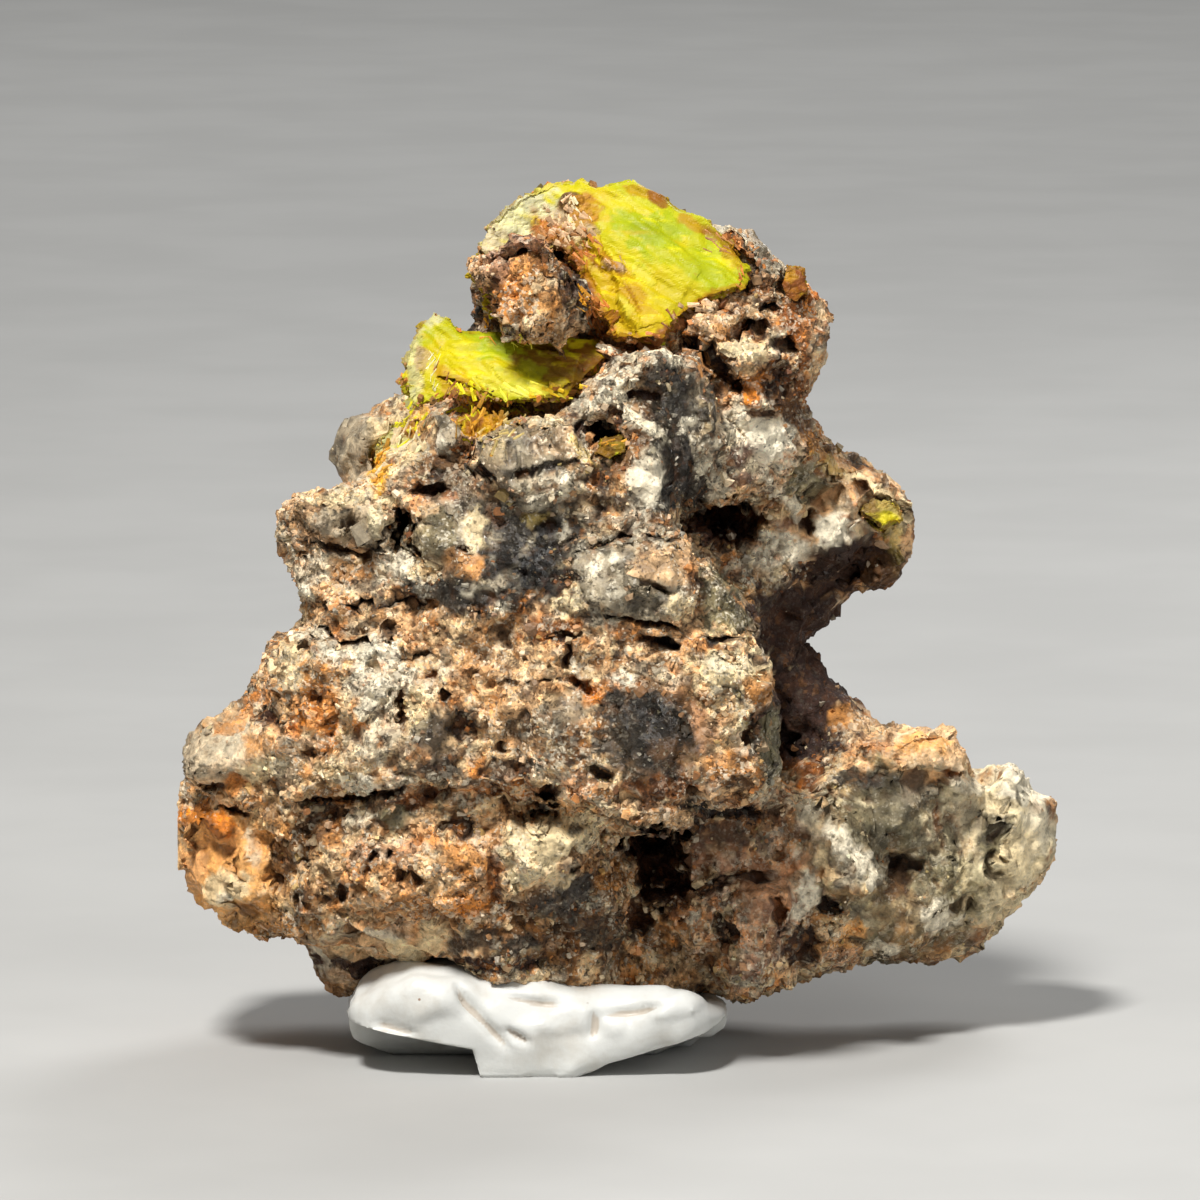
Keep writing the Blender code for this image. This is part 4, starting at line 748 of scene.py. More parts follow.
    (6.7, 5.1, 0.45, 0.8, DARK, 0.8, 10, -0.6),
    (8.8, 5.8, 0.25, 0.6, DEEP_BROWN, 0.9, 0, -0.5),
    (5.0, 4.9, 0.6, 0.7, BROWN, 0.5, 0, 0.2),
    (5.4, 5.6, 0.30, 0.35, WHITE, 0.9, 0, 0.2),
    (5.1, 4.4, 0.25, 0.5, TAN, 0.6, 0, 0.1),
    (4.2, 4.6, 0.6, 0.6, BROWN, 0.8),
    (7.4, 3.7, 0.7, 0.45, PLUM_TAN, 0.7, 0, 0.2),
    (7.2, 3.0, 0.5, 0.15, FROST, 0.8, 0, 0.1),
    (9.4, 8.1, 0.5, 0.5, PINK, 0.8, 0, 0.15),
    (9.4, 8.2, 0.25, 0.3, WHITE, 0.6),
    (9.9, 6.8, 0.45, 0.9, WHITE, 1.0, -12, 0.3),
    (9.5, 5.7, 0.4, 0.3, WHITE, 0.8, 10, 0.15),
    (10.4, 7.8, 0.25, 0.5, CREAM, 0.7, 0, 0.1),
    (8.9, 5.8, 0.22, 0.5, RUST, 0.95, 0, -0.8),
    (9.2, 10.0, 1.3, 0.5, GREY, 0.85, -15, 0.1),
    (9.7, 4.4, 0.7, 0.8, UMBER, 0.95, 0, -0.4),
    # right arm
    (11.7, 8.0, 0.55, 1.6, WHITE, 0.95, 38, 0.35),
    (11.5, 7.3, 0.35, 0.7, GREY, 0.85, 0, -0.1),
    (11.0, 9.0, 0.5, 0.3, WHITE, 0.8, 0, 0.1),
    (10.8, 6.0, 0.5, 0.25, DARK, 0.9, -15, -0.6),
    (13.6, 7.7, 0.9, 0.32, DARK, 0.8, -12, -0.6),
    (13.6, 6.9, 0.6, 0.7, BROWN, 0.8, 0, -0.2),
    (12.2, 10.1, 0.4, 0.2, STONE, 0.8, 0, 0.05),
    (13.6, 9.9, 0.35, 0.5, STONE, 0.6, 0, 0.05),
    (12.8, 11.0, 0.9, 0.3, SMOKY, 0.6),
    (12.0, 11.2, 0.8, 0.4, SMOKY, 0.8),
    (14.4, 10.6, 0.6, 0.5, GREY, 0.8, 0, 0.05),
    (15.4, 9.2, 0.18, 0.9, RUST, 0.8, 3, -0.2),
    (15.8, 11.3, 0.4, 0.2, RUST, 0.95, 0, -0.5),
    (14.6, 12.5, 1.0, 0.4, PEACH, 0.85, 0, 0.05),
    (12.6, 12.5, 0.9, 0.3, RUST, 0.6, -15),
    (11.3, 13.5, 0.5, 0.6, OCHRE, 0.9),
    (16.6, 10.9, 1.2, 0.3, FROST, 0.7, -8),
    (18.7, 10.8, 1.0, 0.7, WHITE, 0.95, 0, 0.1),
    (19.3, 9.2, 0.6, 1.3, WHITE, 0.6),
    (17.3, 8.7, 0.6, 0.7, GREEN_GREY, 0.9, 0, -0.12),
    (17.2, 8.8, 0.3, 0.4, SMOKY, 0.6),
    (18.6, 7.9, 0.8, 0.9, CREAM, 0.5),
    (15.4, 8.0, 0.8, 1.0, GREEN_GREY, 0.6),
    (16.4, 9.6, 0.6, 0.6, GREY, 0.6),
    (16.2, 6.9, 0.8, 1.1, GREEN_GREY, 0.5),
    (11.4, 4.6, 0.8, 0.7, PEACH, 0.95, 0, 0.15),
    (11.0, 4.8, 0.4, 0.3, WHITE, 0.8),
    (11.2, 3.9, 0.9, 0.3, PINK, 0.8, 0, 0.05),
    (12.9, 4.3, 0.8, 0.25, WHITE, 0.85, 0, 0.1),
    (13.2, 8.8, 2.8, 2.2, SMOKY, 0.35),
    (15.2, 5.4, 0.8, 0.7, WHITE, 0.8, 0, 0.15),
)]


FACETS = [Facet(*row) for row in (
    # brown knob
    (-2.0, 30.7, 1.6, 1.8, 0, -0.35, 0.15, 0.8),
    (-1.2, 32.4, 1.3, 0.7, -10, -0.1, 1.1, 0.8),
    (-0.5, 30.4, 1.0, 1.3, 0, 0.2, -0.1, 0.8),
    (0.55, 31.0, 0.6, 1.7, 25, 1.7, 0.0, 0.9),
    (-0.6, 28.9, 1.5, 0.35, 5, 0.0, -1.0, 0.8),
    # right of the top
    (7.0, 32.8, 1.3, 0.6, -40, 0.3, 0.9, 0.8),
    (8.3, 31.6, 0.8, 0.9, -20, 0.9, 0.2, 0.8),
    (6.3, 29.7, 0.9, 0.6, -25, 0.2, 0.5, 0.7),
    (7.6, 26.9, 0.9, 0.6, 0, 0.2, 0.4, 0.7),
    # quartz chunk, peak and what lies under them
    (-1.4, 24.8, 1.2, 1.1, -12, -0.15, 0.5, 0.9),
    (0.3, 24.6, 0.9, 1.1, -20, 0.5, 0.35, 0.9),
    (-0.8, 23.0, 1.8, 0.5, 10, 0.0, -0.4, 0.8),
    (3.2, 27.9, 1.3, 0.5, 8, -0.1, 1.1, 0.8),
    (4.9, 27.0, 0.9, 0.7, -38, 1.0, 0.3, 0.8),
    (1.6, 26.4, 1.0, 0.5, 22, -0.4, 0.5, 0.8),
    (4.6, 24.6, 0.8, 1.8, 0, 0.5, 0.0, 0.8),
    (3.3, 22.9, 0.9, 1.3, 0, -0.2, 0.25, 0.8),
    (-1.7, 20.9, 1.2, 1.3, 15, -0.1, 0.3, 0.8),
    (0.2, 20.2, 0.9, 1.2, 0, 0.15, 0.1, 0.8),
    (-4.4, 18.6, 1.8, 0.6, -8, 0.0, -0.2, 0.7),
    (-3.6, 21.2, 0.8, 1.4, 0, 0.3, 0.0, 0.7),
    # slab and bulge
    (2.2, 19.5, 1.3, 1.0, 0, -0.15, 0.35, 0.9),
    (4.2, 19.7, 1.1, 0.9, -15, 0.45, 0.2, 0.9),
    (3.0, 18.2, 2.0, 0.6, -14, 0.0, -0.25, 0.9),
    (6.2, 18.5, 0.8, 1.2, 0, 0.3, 0.1, 0.9),
    (7.2, 17.8, 0.5, 1.1, 10, 1.3, 0.0, 0.9),
    # left shoulder
    (-8.8, 22.35, 2.2, 0.3, -2, 0.0, 1.6, 0.8),
    (-8.6, 21.3, 1.6, 0.8, 0, -0.1, 0.05, 0.85),
    (-10.5, 21.2, 0.7, 1.2, 0, -0.9, 0.1, 0.8),
    (-8.8, 19.5, 1.8, 0.8, -10, -0.1, -0.3, 0.8),
    (-6.5, 19.9, 0.8, 0.6, 0, 0.1, 0.3, 0.8),
    # pale flank and right lobe
    (8.2, 24.9, 0.8, 0.8, 0, 0.2, 0.3, 0.8),
    (6.8, 25.6, 0.6, 1.1, 0, -0.3, 0.1, 0.8),
    (8.8, 22.7, 1.1, 0.5, -42, 0.4, 0.8, 0.8),
    (10.0, 23.4, 1.0, 0.8, -35, 0.3, 0.6, 0.8),
    (12.4, 22.9, 1.8, 0.6, -28, 0.2, 1.0, 0.8),
    (12.6, 20.6, 1.2, 1.0, 0, 0.2, -0.6, 0.8),
    (9.0, 20.4, 1.1, 0.6, 8, 0.0, 0.7, 0.8),
    (10.9, 21.0, 0.8, 0.7, 0, -0.1, 0.3, 0.8),
    # whitish block and the lobe beyond it
    (-8.4, 16.4, 2.4, 0.5, -2, 0.0, 1.1, 0.8),
    (-10.2, 15.2, 1.0, 1.4, 0, -0.6, 0.1, 0.8),
    (-7.6, 14.9, 1.6, 1.3, 0, 0.05, 0.1, 0.8),
    (-9.4, 12.9, 1.6, 1.1, 0, -0.1, -0.2, 0.7),
    (-7.0, 12.0, 1.6, 0.9, 0, 0.1, -0.35, 0.8),
    (-13.6, 12.5, 1.6, 0.9, 25, -0.3, 0.6, 0.8),
    (-12.4, 11.2, 1.4, 0.9, 0, -0.1, -0.2, 0.7),
    (-4.8, 13.0, 1.3, 1.2, 20, 0.1, -0.1, 0.7),
    # front ledge
    (0.4, 14.0, 1.3, 1.0, -10, 0.05, 0.25, 0.85),
    (3.2, 15.6, 1.5, 0.5, -10, 0.0, 0.7, 0.8),
    (3.5, 13.2, 1.5, 1.3, 0, -0.1, 0.05, 0.9),
    (6.0, 12.9, 1.3, 1.7, 0, 0.15, 0.0, 0.85),
    (6.7, 15.7, 1.5, 0.5, -8, 0.15, 0.9, 0.85),
    (8.25, 12.8, 0.45, 1.9, 0, 2.0, 0.0, 0.9),
    (4.6, 10.7, 3.0, 0.5, 0, 0.0, -0.9, 0.7),
    # lower left
    (-13.8, 7.8, 1.2, 1.8, 0, -0.5, 0.1, 0.8),
    (-11.9, 7.6, 1.0, 1.6, 0, 0.6, 0.0, 0.8),
    (-13.2, 9.6, 1.6, 0.5, -15, 0.0, 1.0, 0.8),
    (-7.0, 8.5, 1.5, 0.9, 0, 0.0, 0.2, 0.6),
    (-6.6, 4.7, 1.6, 0.6, -15, 0.0, -0.5, 0.8),
    # cream knob
    (-0.4, 9.2, 1.5, 0.6, 8, 0.0, 0.5, 0.8),
    (-1.5, 7.9, 0.6, 1.0, 0, -0.6, 0.0, 0.8),
    (1.0, 6.9, 1.2, 0.8, 20, 0.35, -0.3, 0.8),
    # right arm
    (12.6, 10.2, 2.0, 1.1, 0, 0.05, 0.3, 0.8),
    (14.4, 12.3, 1.8, 0.7, 0, 0.1, 1.0, 0.8),
    (11.6, 7.9, 0.8, 1.5, 32, 0.3, 0.1, 0.85),
    (14.6, 8.6, 0.9, 1.4, 0, 0.1, 0.0, 0.7),
    (17.2, 9.2, 1.4, 1.6, 0, 0.2, 0.1, 0.8),
    (19.0, 8.8, 0.9, 1.8, 0, 1.0, 0.0, 0.8),
    (16.0, 6.6, 1.4, 1.0, 25, 0.2, -0.4, 0.8),
    (12.2, 4.7, 1.8, 0.7, 0, 0.0, -0.3, 0.7),
)]


def spot_reach(spot, across, up, wander):
    """Squared distance from the middle of a turned ellipse with an uneven outline: 1 at its edge."""
    turn = math.radians(spot.turn)
    loose = 0.42 * min(spot.wide, spot.high, 1.0)
    dx = across - spot.across + loose * wander[0]
    dz = up - spot.up + loose * wander[1]
    along = dx * math.cos(turn) + dz * math.sin(turn)
    over = dz * math.cos(turn) - dx * math.sin(turn)
    return ((along / spot.wide) ** 2 + (over / spot.high) ** 2) * (1 + 0.40 * wander[2])


def plain_reach(across, up, patch):
    """Squared distance from the middle of an ellipse that isn't turned: 1 at its edge."""
    middle_across, middle_up, wide, high = patch
    return ((across - middle_across) / wide) ** 2 + ((up - middle_up) / high) ** 2


def with_patches(amount, patches, across, up, warp, full, none):
    """An amount made up to 1 within each patch, and left alone beyond the patch's uneven edge."""
    for patch in patches:
        amount = np.maximum(amount, 1 - smoothstep(full, none, plain_reach(across, up, patch) + warp))
    return amount


WANDER_SEEDS = (61, 64, 67)


def wandering(mm):
    """Three fields of noise that make outlines uneven."""
    return [fractal(mm / 0.55, seed, 3, 0.6) for seed in WANDER_SEEDS]


# Patches where the outline is drawn in or out: across, up, half width, half height, shift across, shift up.
WARPS = [
    (10.7, 16.9, 1.1, 0.45, -0.6, 0.0),
    (10.8, 18.2, 1.0, 0.6, 0.3, 0.0),
    (19.6, 11.3, 1.3, 1.0, -0.5, -0.35),
    (17.1, 11.5, 0.9, 0.7, 0.0, -0.4),
    (14.6, 12.5, 0.9, 0.7, 0.0, 0.3),
    (-1.0, 26.6, 2.8, 1.1, 0.0, -0.75),
    (-2.0, 3.1, 8.0, 1.2, 0.0, -0.65),
    (3.5, 3.2, 3.0, 1.0, 0.0, -0.45),
    (-3.0, 32.9, 1.3, 0.9, 0.2, -0.5),
    (-4.2, 30.2, 1.6, 1.6, 0.75, 0.10),
    (-3.4, 28.9, 1.3, 1.0, 0.90, 0.35),
    (-1.6, 33.8, 2.4, 1.3, 0.0, -0.75),
    (0.3, 32.4, 1.2, 1.3, -0.45, -0.5),
    (1.2, 29.2, 0.9, 1.0, -0.25, 0.2),
    (19.8, 9.2, 1.8, 3.0, -0.35, -0.15),
    (13.6, 13.4, 2.0, 0.9, 0.0, -0.45),
    (11.6, 18.2, 1.4, 0.9, 0.0, 0.45),
]


def warped(co):
    """Points shifted sideways to mend the outline of a form."""
    across, up, _ = shown(co)
    shift = np.zeros_like(co)
    for *patch, move_across, move_up in WARPS:
        amount = (1 - smoothstep(0.1, 1.0, plain_reach(across, up, patch))) * MM
        shift[:, 0] += move_across * amount
        shift[:, 2] += move_up * amount
    return co + shift


FACET_DEPTH = 0.9  # how far a flat face moves a point at most, in millimetres
FACET_LEAST = 20  # a face that shows at fewer points than this is left out


def faceted(co, across, up, showing, wander):
    """Points pressed towards the named flat faces, straight towards or away from the front."""
    depth = co[:, 1] / MM
    for face in FACETS:
        reach = spot_reach(face, across, up, wander)
        inside = (1 - smoothstep(0.75, 1.15, reach)) * showing
        weight = np.where(reach < 1, inside, 0)
        if weight.sum() < FACET_LEAST:
            continue
        slant = face.slant_across * (across - face.across) + face.slant_up * (up - face.up)
        middle = np.median((depth - slant)[weight > 0.5])
        depth = depth + face.grip * inside * np.clip(middle + slant - depth, -FACET_DEPTH, FACET_DEPTH)
    return np.stack([co[:, 0], depth * MM, co[:, 2]], axis=1)


def chipped(co, normals, spacing, seed, share, tilt, step):
    """Points pressed towards one flat facet in each cell of about this size, and the points' cell numbers."""
    cell = cell_numbers(co / spacing, seed)
    total = np.maximum(np.bincount(cell), 1)[:, None]
    centre = np.stack([np.bincount(cell, co[:, k]) for k in range(3)], axis=1) / total
    facing = np.stack([np.bincount(cell, normals[:, k]) for k in range(3)], axis=1)
    rng = np.random.default_rng(seed)
    facing /= np.maximum(np.linalg.norm(facing, axis=1, keepdims=True), 1e-9)
    facing += rng.normal(0, tilt, facing.shape)
    facing /= np.maximum(np.linalg.norm(facing, axis=1, keepdims=True), 1e-9)
    lift = rng.normal(0, step, len(facing))[:, None]
    off = ((co - centre[cell]) * facing[cell]).sum(axis=1, keepdims=True)
    return co + facing[cell] * (lift[cell] - off * share), cell


# Flat chips all over the rock, from large to small: size in millimetres, seed, how flat they are, how much
# they tilt, and how far they step in or out in millimetres.
CHIPS = [(2.1, 21, 0.50, 0.20, 0.09), (0.95, 27, 0.62, 0.30, 0.08), (0.42, 33, 0.80, 0.42, 0.060)]


def rock_shape(mesh):
    """Breaks the smooth remeshed rock into lumps, facets, grains, pits and cracks.

    Gives the points before that in millimetres, the chip numbers of each size, and the depth of the pits.
    """
    pairs = edge_pairs(mesh)
    co = warped(relaxed(positions(mesh), pairs, 2))
    normals = moved(mesh, co)
    start = co / MM
    across, up, away = shown(co)
    glassy = np.maximum(glassiness(co), 0.5 * calmness(co))
    wander = wandering(start)
    showing = smoothstep(-0.1, 0.35, -normals[:, 1]) * (1 - smoothstep(*FRONT_FADES, away))
    forwards = np.array([0.0, -1.0, 0.0])

    lumps = np.zeros(len(co))
    pits = np.zeros(len(co))
    for spot in SPOTS:
        inside = 1 - smoothstep(0.35, 1.3, spot_reach(spot, across, up, wander))
        if spot.lift < 0:
            pits = np.maximum(pits, -spot.lift * inside)
        else:
            lumps += spot.lift * inside
    co = pushed(faceted(co, across, up, showing, wander), forwards, lumps * showing)
    co = pushed(co, moved(mesh, co), 0.14 * fractal(start / 1.5, 11, 3))

    cells = []
    for size, seed, share, tilt, step in CHIPS:
        before = co
        co, cell = chipped(co, moved(mesh, co), size * MM, seed, share, tilt, step * MM)
        cells.append(cell)
    co = before + (co - before) * (1 - 0.85 * glassy)[:, None]  # glassy faces keep no small chips
    crags = 1 - 2 * np.abs(fractal(start / 0.5, 51, 3, 0.6))
    co = pushed(co, moved(mesh, co), 0.06 * (1 - 0.8 * glassy) * crags)

    pores = smoothstep(0.72, 1.05, fractal(start / 0.7, 71, 4, 0.65)) * (1 - 0.9 * glassy)
    co = pushed(co, moved(mesh, co), -0.24 * pores)
    co = pushed(co, forwards, -pits * showing)
    set_positions(mesh, kept_in_box(co))
    return start, cells, np.maximum(pits * showing, 0.6 * pores)


# Faces of glassy quartz, which break smooth: across, up, half width, half height.
GLASSY = [
    (-4.2, 18.6, 2.2, 0.7),
    (6.8, 15.6, 1.4, 0.6),
    (-0.9, 24.4, 2.0, 1.6),
    (-1.2, 20.6, 1.8, 1.8),
    (-4.1, 21.2, 1.5, 2.2),
    (3.6, 24.2, 1.2, 2.6),
    (2.6, 19.2, 2.2, 1.5),
    (6.4, 18.0, 1.4, 1.3),
    (3.6, 13.0, 2.3, 1.9),
    (0.4, 14.0, 1.0, 0.7),
    (8.3, 12.6, 0.6, 1.6),
    (-4.8, 13.2, 1.0, 1.0),
    (-8.2, 21.4, 1.6, 0.9),
    (7.8, 32.2, 1.4, 1.2),
    (5.2, 25.8, 1.0, 1.6),
    (-4.5, 25.3, 0.6, 0.8),
    (-6.5, 9.7, 1.0, 0.5),
    (0.0, 7.0, 1.3, 0.9),
    (-0.6, 8.8, 1.3, 0.8),
    (12.8, 9.6, 1.6, 1.2),
    (18.2, 9.0, 1.8, 2.4),
    (-13.0, 7.4, 1.6, 1.8),
    (8.0, 24.8, 1.0, 1.0),
    (11.0, 21.2, 1.2, 0.9),
    (-8.2, 24.6, 1.4, 1.4),
]


# Parts worn smooth, without loose grains or sharp chips: across, up, half width, half height.
CALM = [
    (-8.8, 3.0, 2.2, 1.0),
    (-13.5, 7.6, 2.2, 2.8),
    (-13.4, 12.5, 2.0, 1.6),
    (-8.4, 24.6, 1.7, 1.8),
    (-6.2, 4.4, 4.0, 0.9),
    (15.0, 8.6, 6.0, 5.0),
    (10.0, 15.5, 2.4, 4.2),
    (12.0, 21.2, 3.0, 3.4),
    (8.3, 6.7, 1.2, 1.3),
    (6.4, 8.4, 1.2, 1.0),
]


def calmness(co):
    """How worn the rock is at each point, from 0 to 1."""
    across, up, away = shown(co)
    warp = 0.4 * fractal(co / MM / 1.5, 87, 2)
    return with_patches(0.4 * smoothstep(1, 4, away), CALM, across, up, warp, 0.6, 1.3)


def glassiness(co):
    """How glassy the rock is at each point, from 0 to 1."""
    across, up, away = shown(co)
    mm = co / MM
    warp = 0.5 * fractal(mm / 1.2, 81, 4, 0.65)
    amount = 0.85 * smoothstep(0.25, 0.7, fractal(mm / 2.6, 83, 2)) * smoothstep(0, 5, away)
    return with_patches(amount, GLASSY, across, up, warp, 0.5, 1.4)


# Blotches all over the rock: colour, size in millimetres, how much of the rock they leave bare, strength.
BLOTCHES = [
    (OCHRE, 2.2, 0.10, 0.75),
    (GREY, 1.8, 0.15, 0.80),
    (BROWN, 1.2, 0.25, 0.60),
    (CREAM, 1.0, 0.25, 0.70),
    (RUST, 0.8, 0.35, 0.65),
    (SMOKY, 0.9, 0.40, 0.70),
]
# Small marks laid over the named spots as well.
FLECKS = [
    (WHITE, 0.50, 0.75, 0.50),
    (ORANGE, 0.60, 0.72, 0.55),
    (DEEP_BROWN, 0.45, 0.75, 0.60),
    (CREAM, 0.70, 0.70, 0.40),
]
DIRT_AND_SHADE, CREST_WEAR_AND_HIGHLIGHT = 0.54, 0.32  # how strongly dirt and painted shade darken the hollows, and how much paler the crests are, from wear and painted highlight
SATURATION = 1.08
# Chunks of other minerals: colour and how common.
CHUNKS = [(CREAM, 0.12), (WHITE, 0.04), (OCHRE, 0.15), (ORANGE, 0.05), (GREY, 0.07), (BROWN, 0.09)]


def blotted(colour, mm, marks, seed, share):
    """Colours with blotches of noise laid over them."""
    for number, (mark, size, bare, strength) in enumerate(marks):
        field = fractal(mm / size, seed + 9 * number, 4, 0.62)
        colour = blended(colour, mark, strength * smoothstep(bare, bare + 0.28, field) * share)
    return colour


def painted(colour, spots, across, up, wander, rough_edge, on_show):
    """Colours with the named spots laid over them."""
    for spot in spots:
        reach = spot_reach(spot, across, up, wander) + rough_edge
        colour = blended(colour, spot.colour, spot.strength * (1 - smoothstep(0.75, 1.30, reach)) * on_show)
    return colour


def rock_colour(co, start, cells, hollow, glassy):
    """The rock's colour at each point: stained patches, single grains, dirt and painted shade in the hollows,
    and paler crests that are partly painted highlight.
    """
    across, up, away = shown(start * MM)
    mm = co / MM
    rng = np.random.default_rng(5)
    everywhere = np.ones(len(co))
    wander = wandering(start)
    rough_edge = 0.30 * fractal(mm / 0.25, 77, 2)
    on_show = 1 - smoothstep(*FRONT_FADES, away)
    calm = calmness(start * MM)

    colour = blotted(np.tile(TAN, (len(co), 1)), start, BLOTCHES, 101, everywhere)
    colour = painted(colour, REGIONS, across, up, wander, rough_edge, on_show)
    big, middle, small = cells
    own = (1 - 0.9 * glassy) * (1 - 0.6 * calm) * smoothstep(0.04, 0.16, colour.mean(axis=1))
    for cell, strength in ((middle, 0.42), (small, 0.32)):
        draw = rng.random(cell.max() + 1)[cell]
        for chunk, share in CHUNKS:
            colour = blended(colour, chunk, strength * own * (draw < share))
            draw = np.where(draw < share, 2.0, draw - share)
    colour = painted(colour, SPOTS, across, up, wander, rough_edge, on_show)
    colour = blotted(colour, mm, FLECKS, 161, (1 - 0.75 * np.maximum(glassy, calm)) * own)

    for cell, swing in ((big, 0.10), (middle, 0.12), (small, 0.10)):
        colour *= np.exp(swing * rng.normal(0, 1, cell.max() + 1))[cell][:, None]
    colour *= np.exp(0.26 * fractal(mm / 0.3, 121, 3, 0.65))[:, None]

    # The hollows are darkened to brown, partly as dirt and partly as painted shade.
    dirt_and_shade = smoothstep(0.04, 0.20, hollow)
    stain = smoothstep(-0.4, 0.6, fractal(mm / 2.0, 131, 2))[:, None]
    colour = blended(colour, (DEEP_BROWN + (RUST - DEEP_BROWN) * stain) * 0.8, DIRT_AND_SHADE * dirt_and_shade)
    # The crests are made paler, partly as wear and partly as painted highlight.
    crest_wear_and_highlight = smoothstep(0.03, 0.14, -hollow)
    colour *= (1 + CREST_WEAR_AND_HIGHLIGHT * crest_wear_and_highlight * (1 - 0.8 * glassy))[:, None]
    luminance = colour.mean(axis=1, keepdims=True)
    colour = luminance + (colour - luminance) * SATURATION
    colour *= 0.66 + 0.62 * smoothstep(0.04, 0.34, luminance)
    colour *= np.minimum(1.0, PALEST / colour.max(axis=1, keepdims=True))
    return np.maximum(colour, DARKEST)


def part_of(name, mesh, faces, triangles):
    """A new object from some of a mesh's faces, thinned to this many triangles."""
    used, corners = np.unique(faces, return_inverse=True)
    made = bpy.data.meshes.new(name)
    made.vertices.add(len(used))
    made.vertices.foreach_set("co", positions(mesh)[used].ravel())
    made.loops.add(corners.size)
    made.loops.foreach_set("vertex_index", corners.ravel())
    made.polygons.add(len(faces))
    made.polygons.foreach_set("loop_start", np.arange(len(faces)) * 4)
    made.update(calc_edges=True)
    store_colour(made, "tint", stored_colour(mesh, "tint")[used])
    for layer in ("glassy", "hollow", "calm"):
        store_value(made, layer, stored_value(mesh, layer)[used])
    obj = new_object(name, made)
    thin = obj.modifiers.new("thin", "DECIMATE")
    thin.ratio = min(1.0, triangles / (2 * len(faces)))
    apply_modifiers(obj)
    return obj


def build_rock():
    """The whole rock, and the two pieces that show it: a close one in front and a plainer one behind."""
    whole = remeshed_copy("whole_rock", nodes["matrix"], ROCK_VOXEL, plugged=True)
    mesh = whole.data
    pairs = edge_pairs(mesh)
    start, cells, pits = rock_shape(mesh)
    co, normals = positions(mesh), vertex_normals(mesh)
    near, far = relaxed(co, pairs, 5), relaxed(co, pairs, 40)
    hollow = sunk(co, near, normals) + 0.8 * sunk(near, far, normals)
    hollow = relaxed(hollow[:, None], pairs, 1)[:, 0]
    hollow = np.maximum(hollow, 0.2 * np.minimum(pits, 1.0))
    glassy = glassiness(start * MM)
    store_colour(mesh, "tint", rock_colour(co, start, cells, hollow, glassy))
    store_value(mesh, "glassy", glassy)
    store_value(mesh, "calm", calmness(start * MM))
    store_value(mesh, "hollow", np.clip(hollow, -1, 1))
    depth = shown(co)[2][quads(mesh)]
    in_front = (depth < FRONT_ENDS).any(axis=1)
    behind = (depth > FRONT_ENDS - SEAM).any(axis=1)
    pieces = [
        part_of("rock_front", mesh, quads(mesh)[in_front], FRONT_TRIANGLES),
        part_of("rock_back", mesh, quads(mesh)[behind], BACK_TRIANGLES),
    ]
    for piece in pieces:
        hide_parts("matrix")
        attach(piece, "root")
    return whole, pieces


# ---------------------------------------------------------------------------------------------- grains


def chip_template(rng):
    """A small angular stone, as vertices and triangles."""
    bm = bmesh.new()
    bmesh.ops.create_cube(bm, size=1.4)
    for _ in range(GRAIN_CUTS):
        normal = Vector(rng.normal(0, 1, 3)).normalized()
        bmesh.ops.bisect_plane(
            bm,
            geom=bm.verts[:] + bm.edges[:] + bm.faces[:],
            plane_co=normal * rng.uniform(0.45, 0.80),
            plane_no=normal,
            clear_outer=True,
        )
        bmesh.ops.edgeloop_fill(bm, edges=[e for e in bm.edges if e.is_boundary])
    bmesh.ops.dissolve_limit(bm, angle_limit=math.radians(14), verts=bm.verts, edges=bm.edges)
    return finished_shape(bm)


def random_turns(rng, count):
    """Random rotation matrices."""
    q = rng.normal(0, 1, (count, 4))
    q /= np.linalg.norm(q, axis=1, keepdims=True)
    w, x, y, z = q.T
    rows = [
        [1 - 2 * (y * y + z * z), 2 * (x * y - z * w), 2 * (x * z + y * w)],
        [2 * (x * y + z * w), 1 - 2 * (x * x + z * z), 2 * (y * z - x * w)],
        [2 * (x * z - y * w), 2 * (y * z + x * w), 1 - 2 * (x * x + y * y)],
    ]
    return np.array(rows).transpose(2, 0, 1)


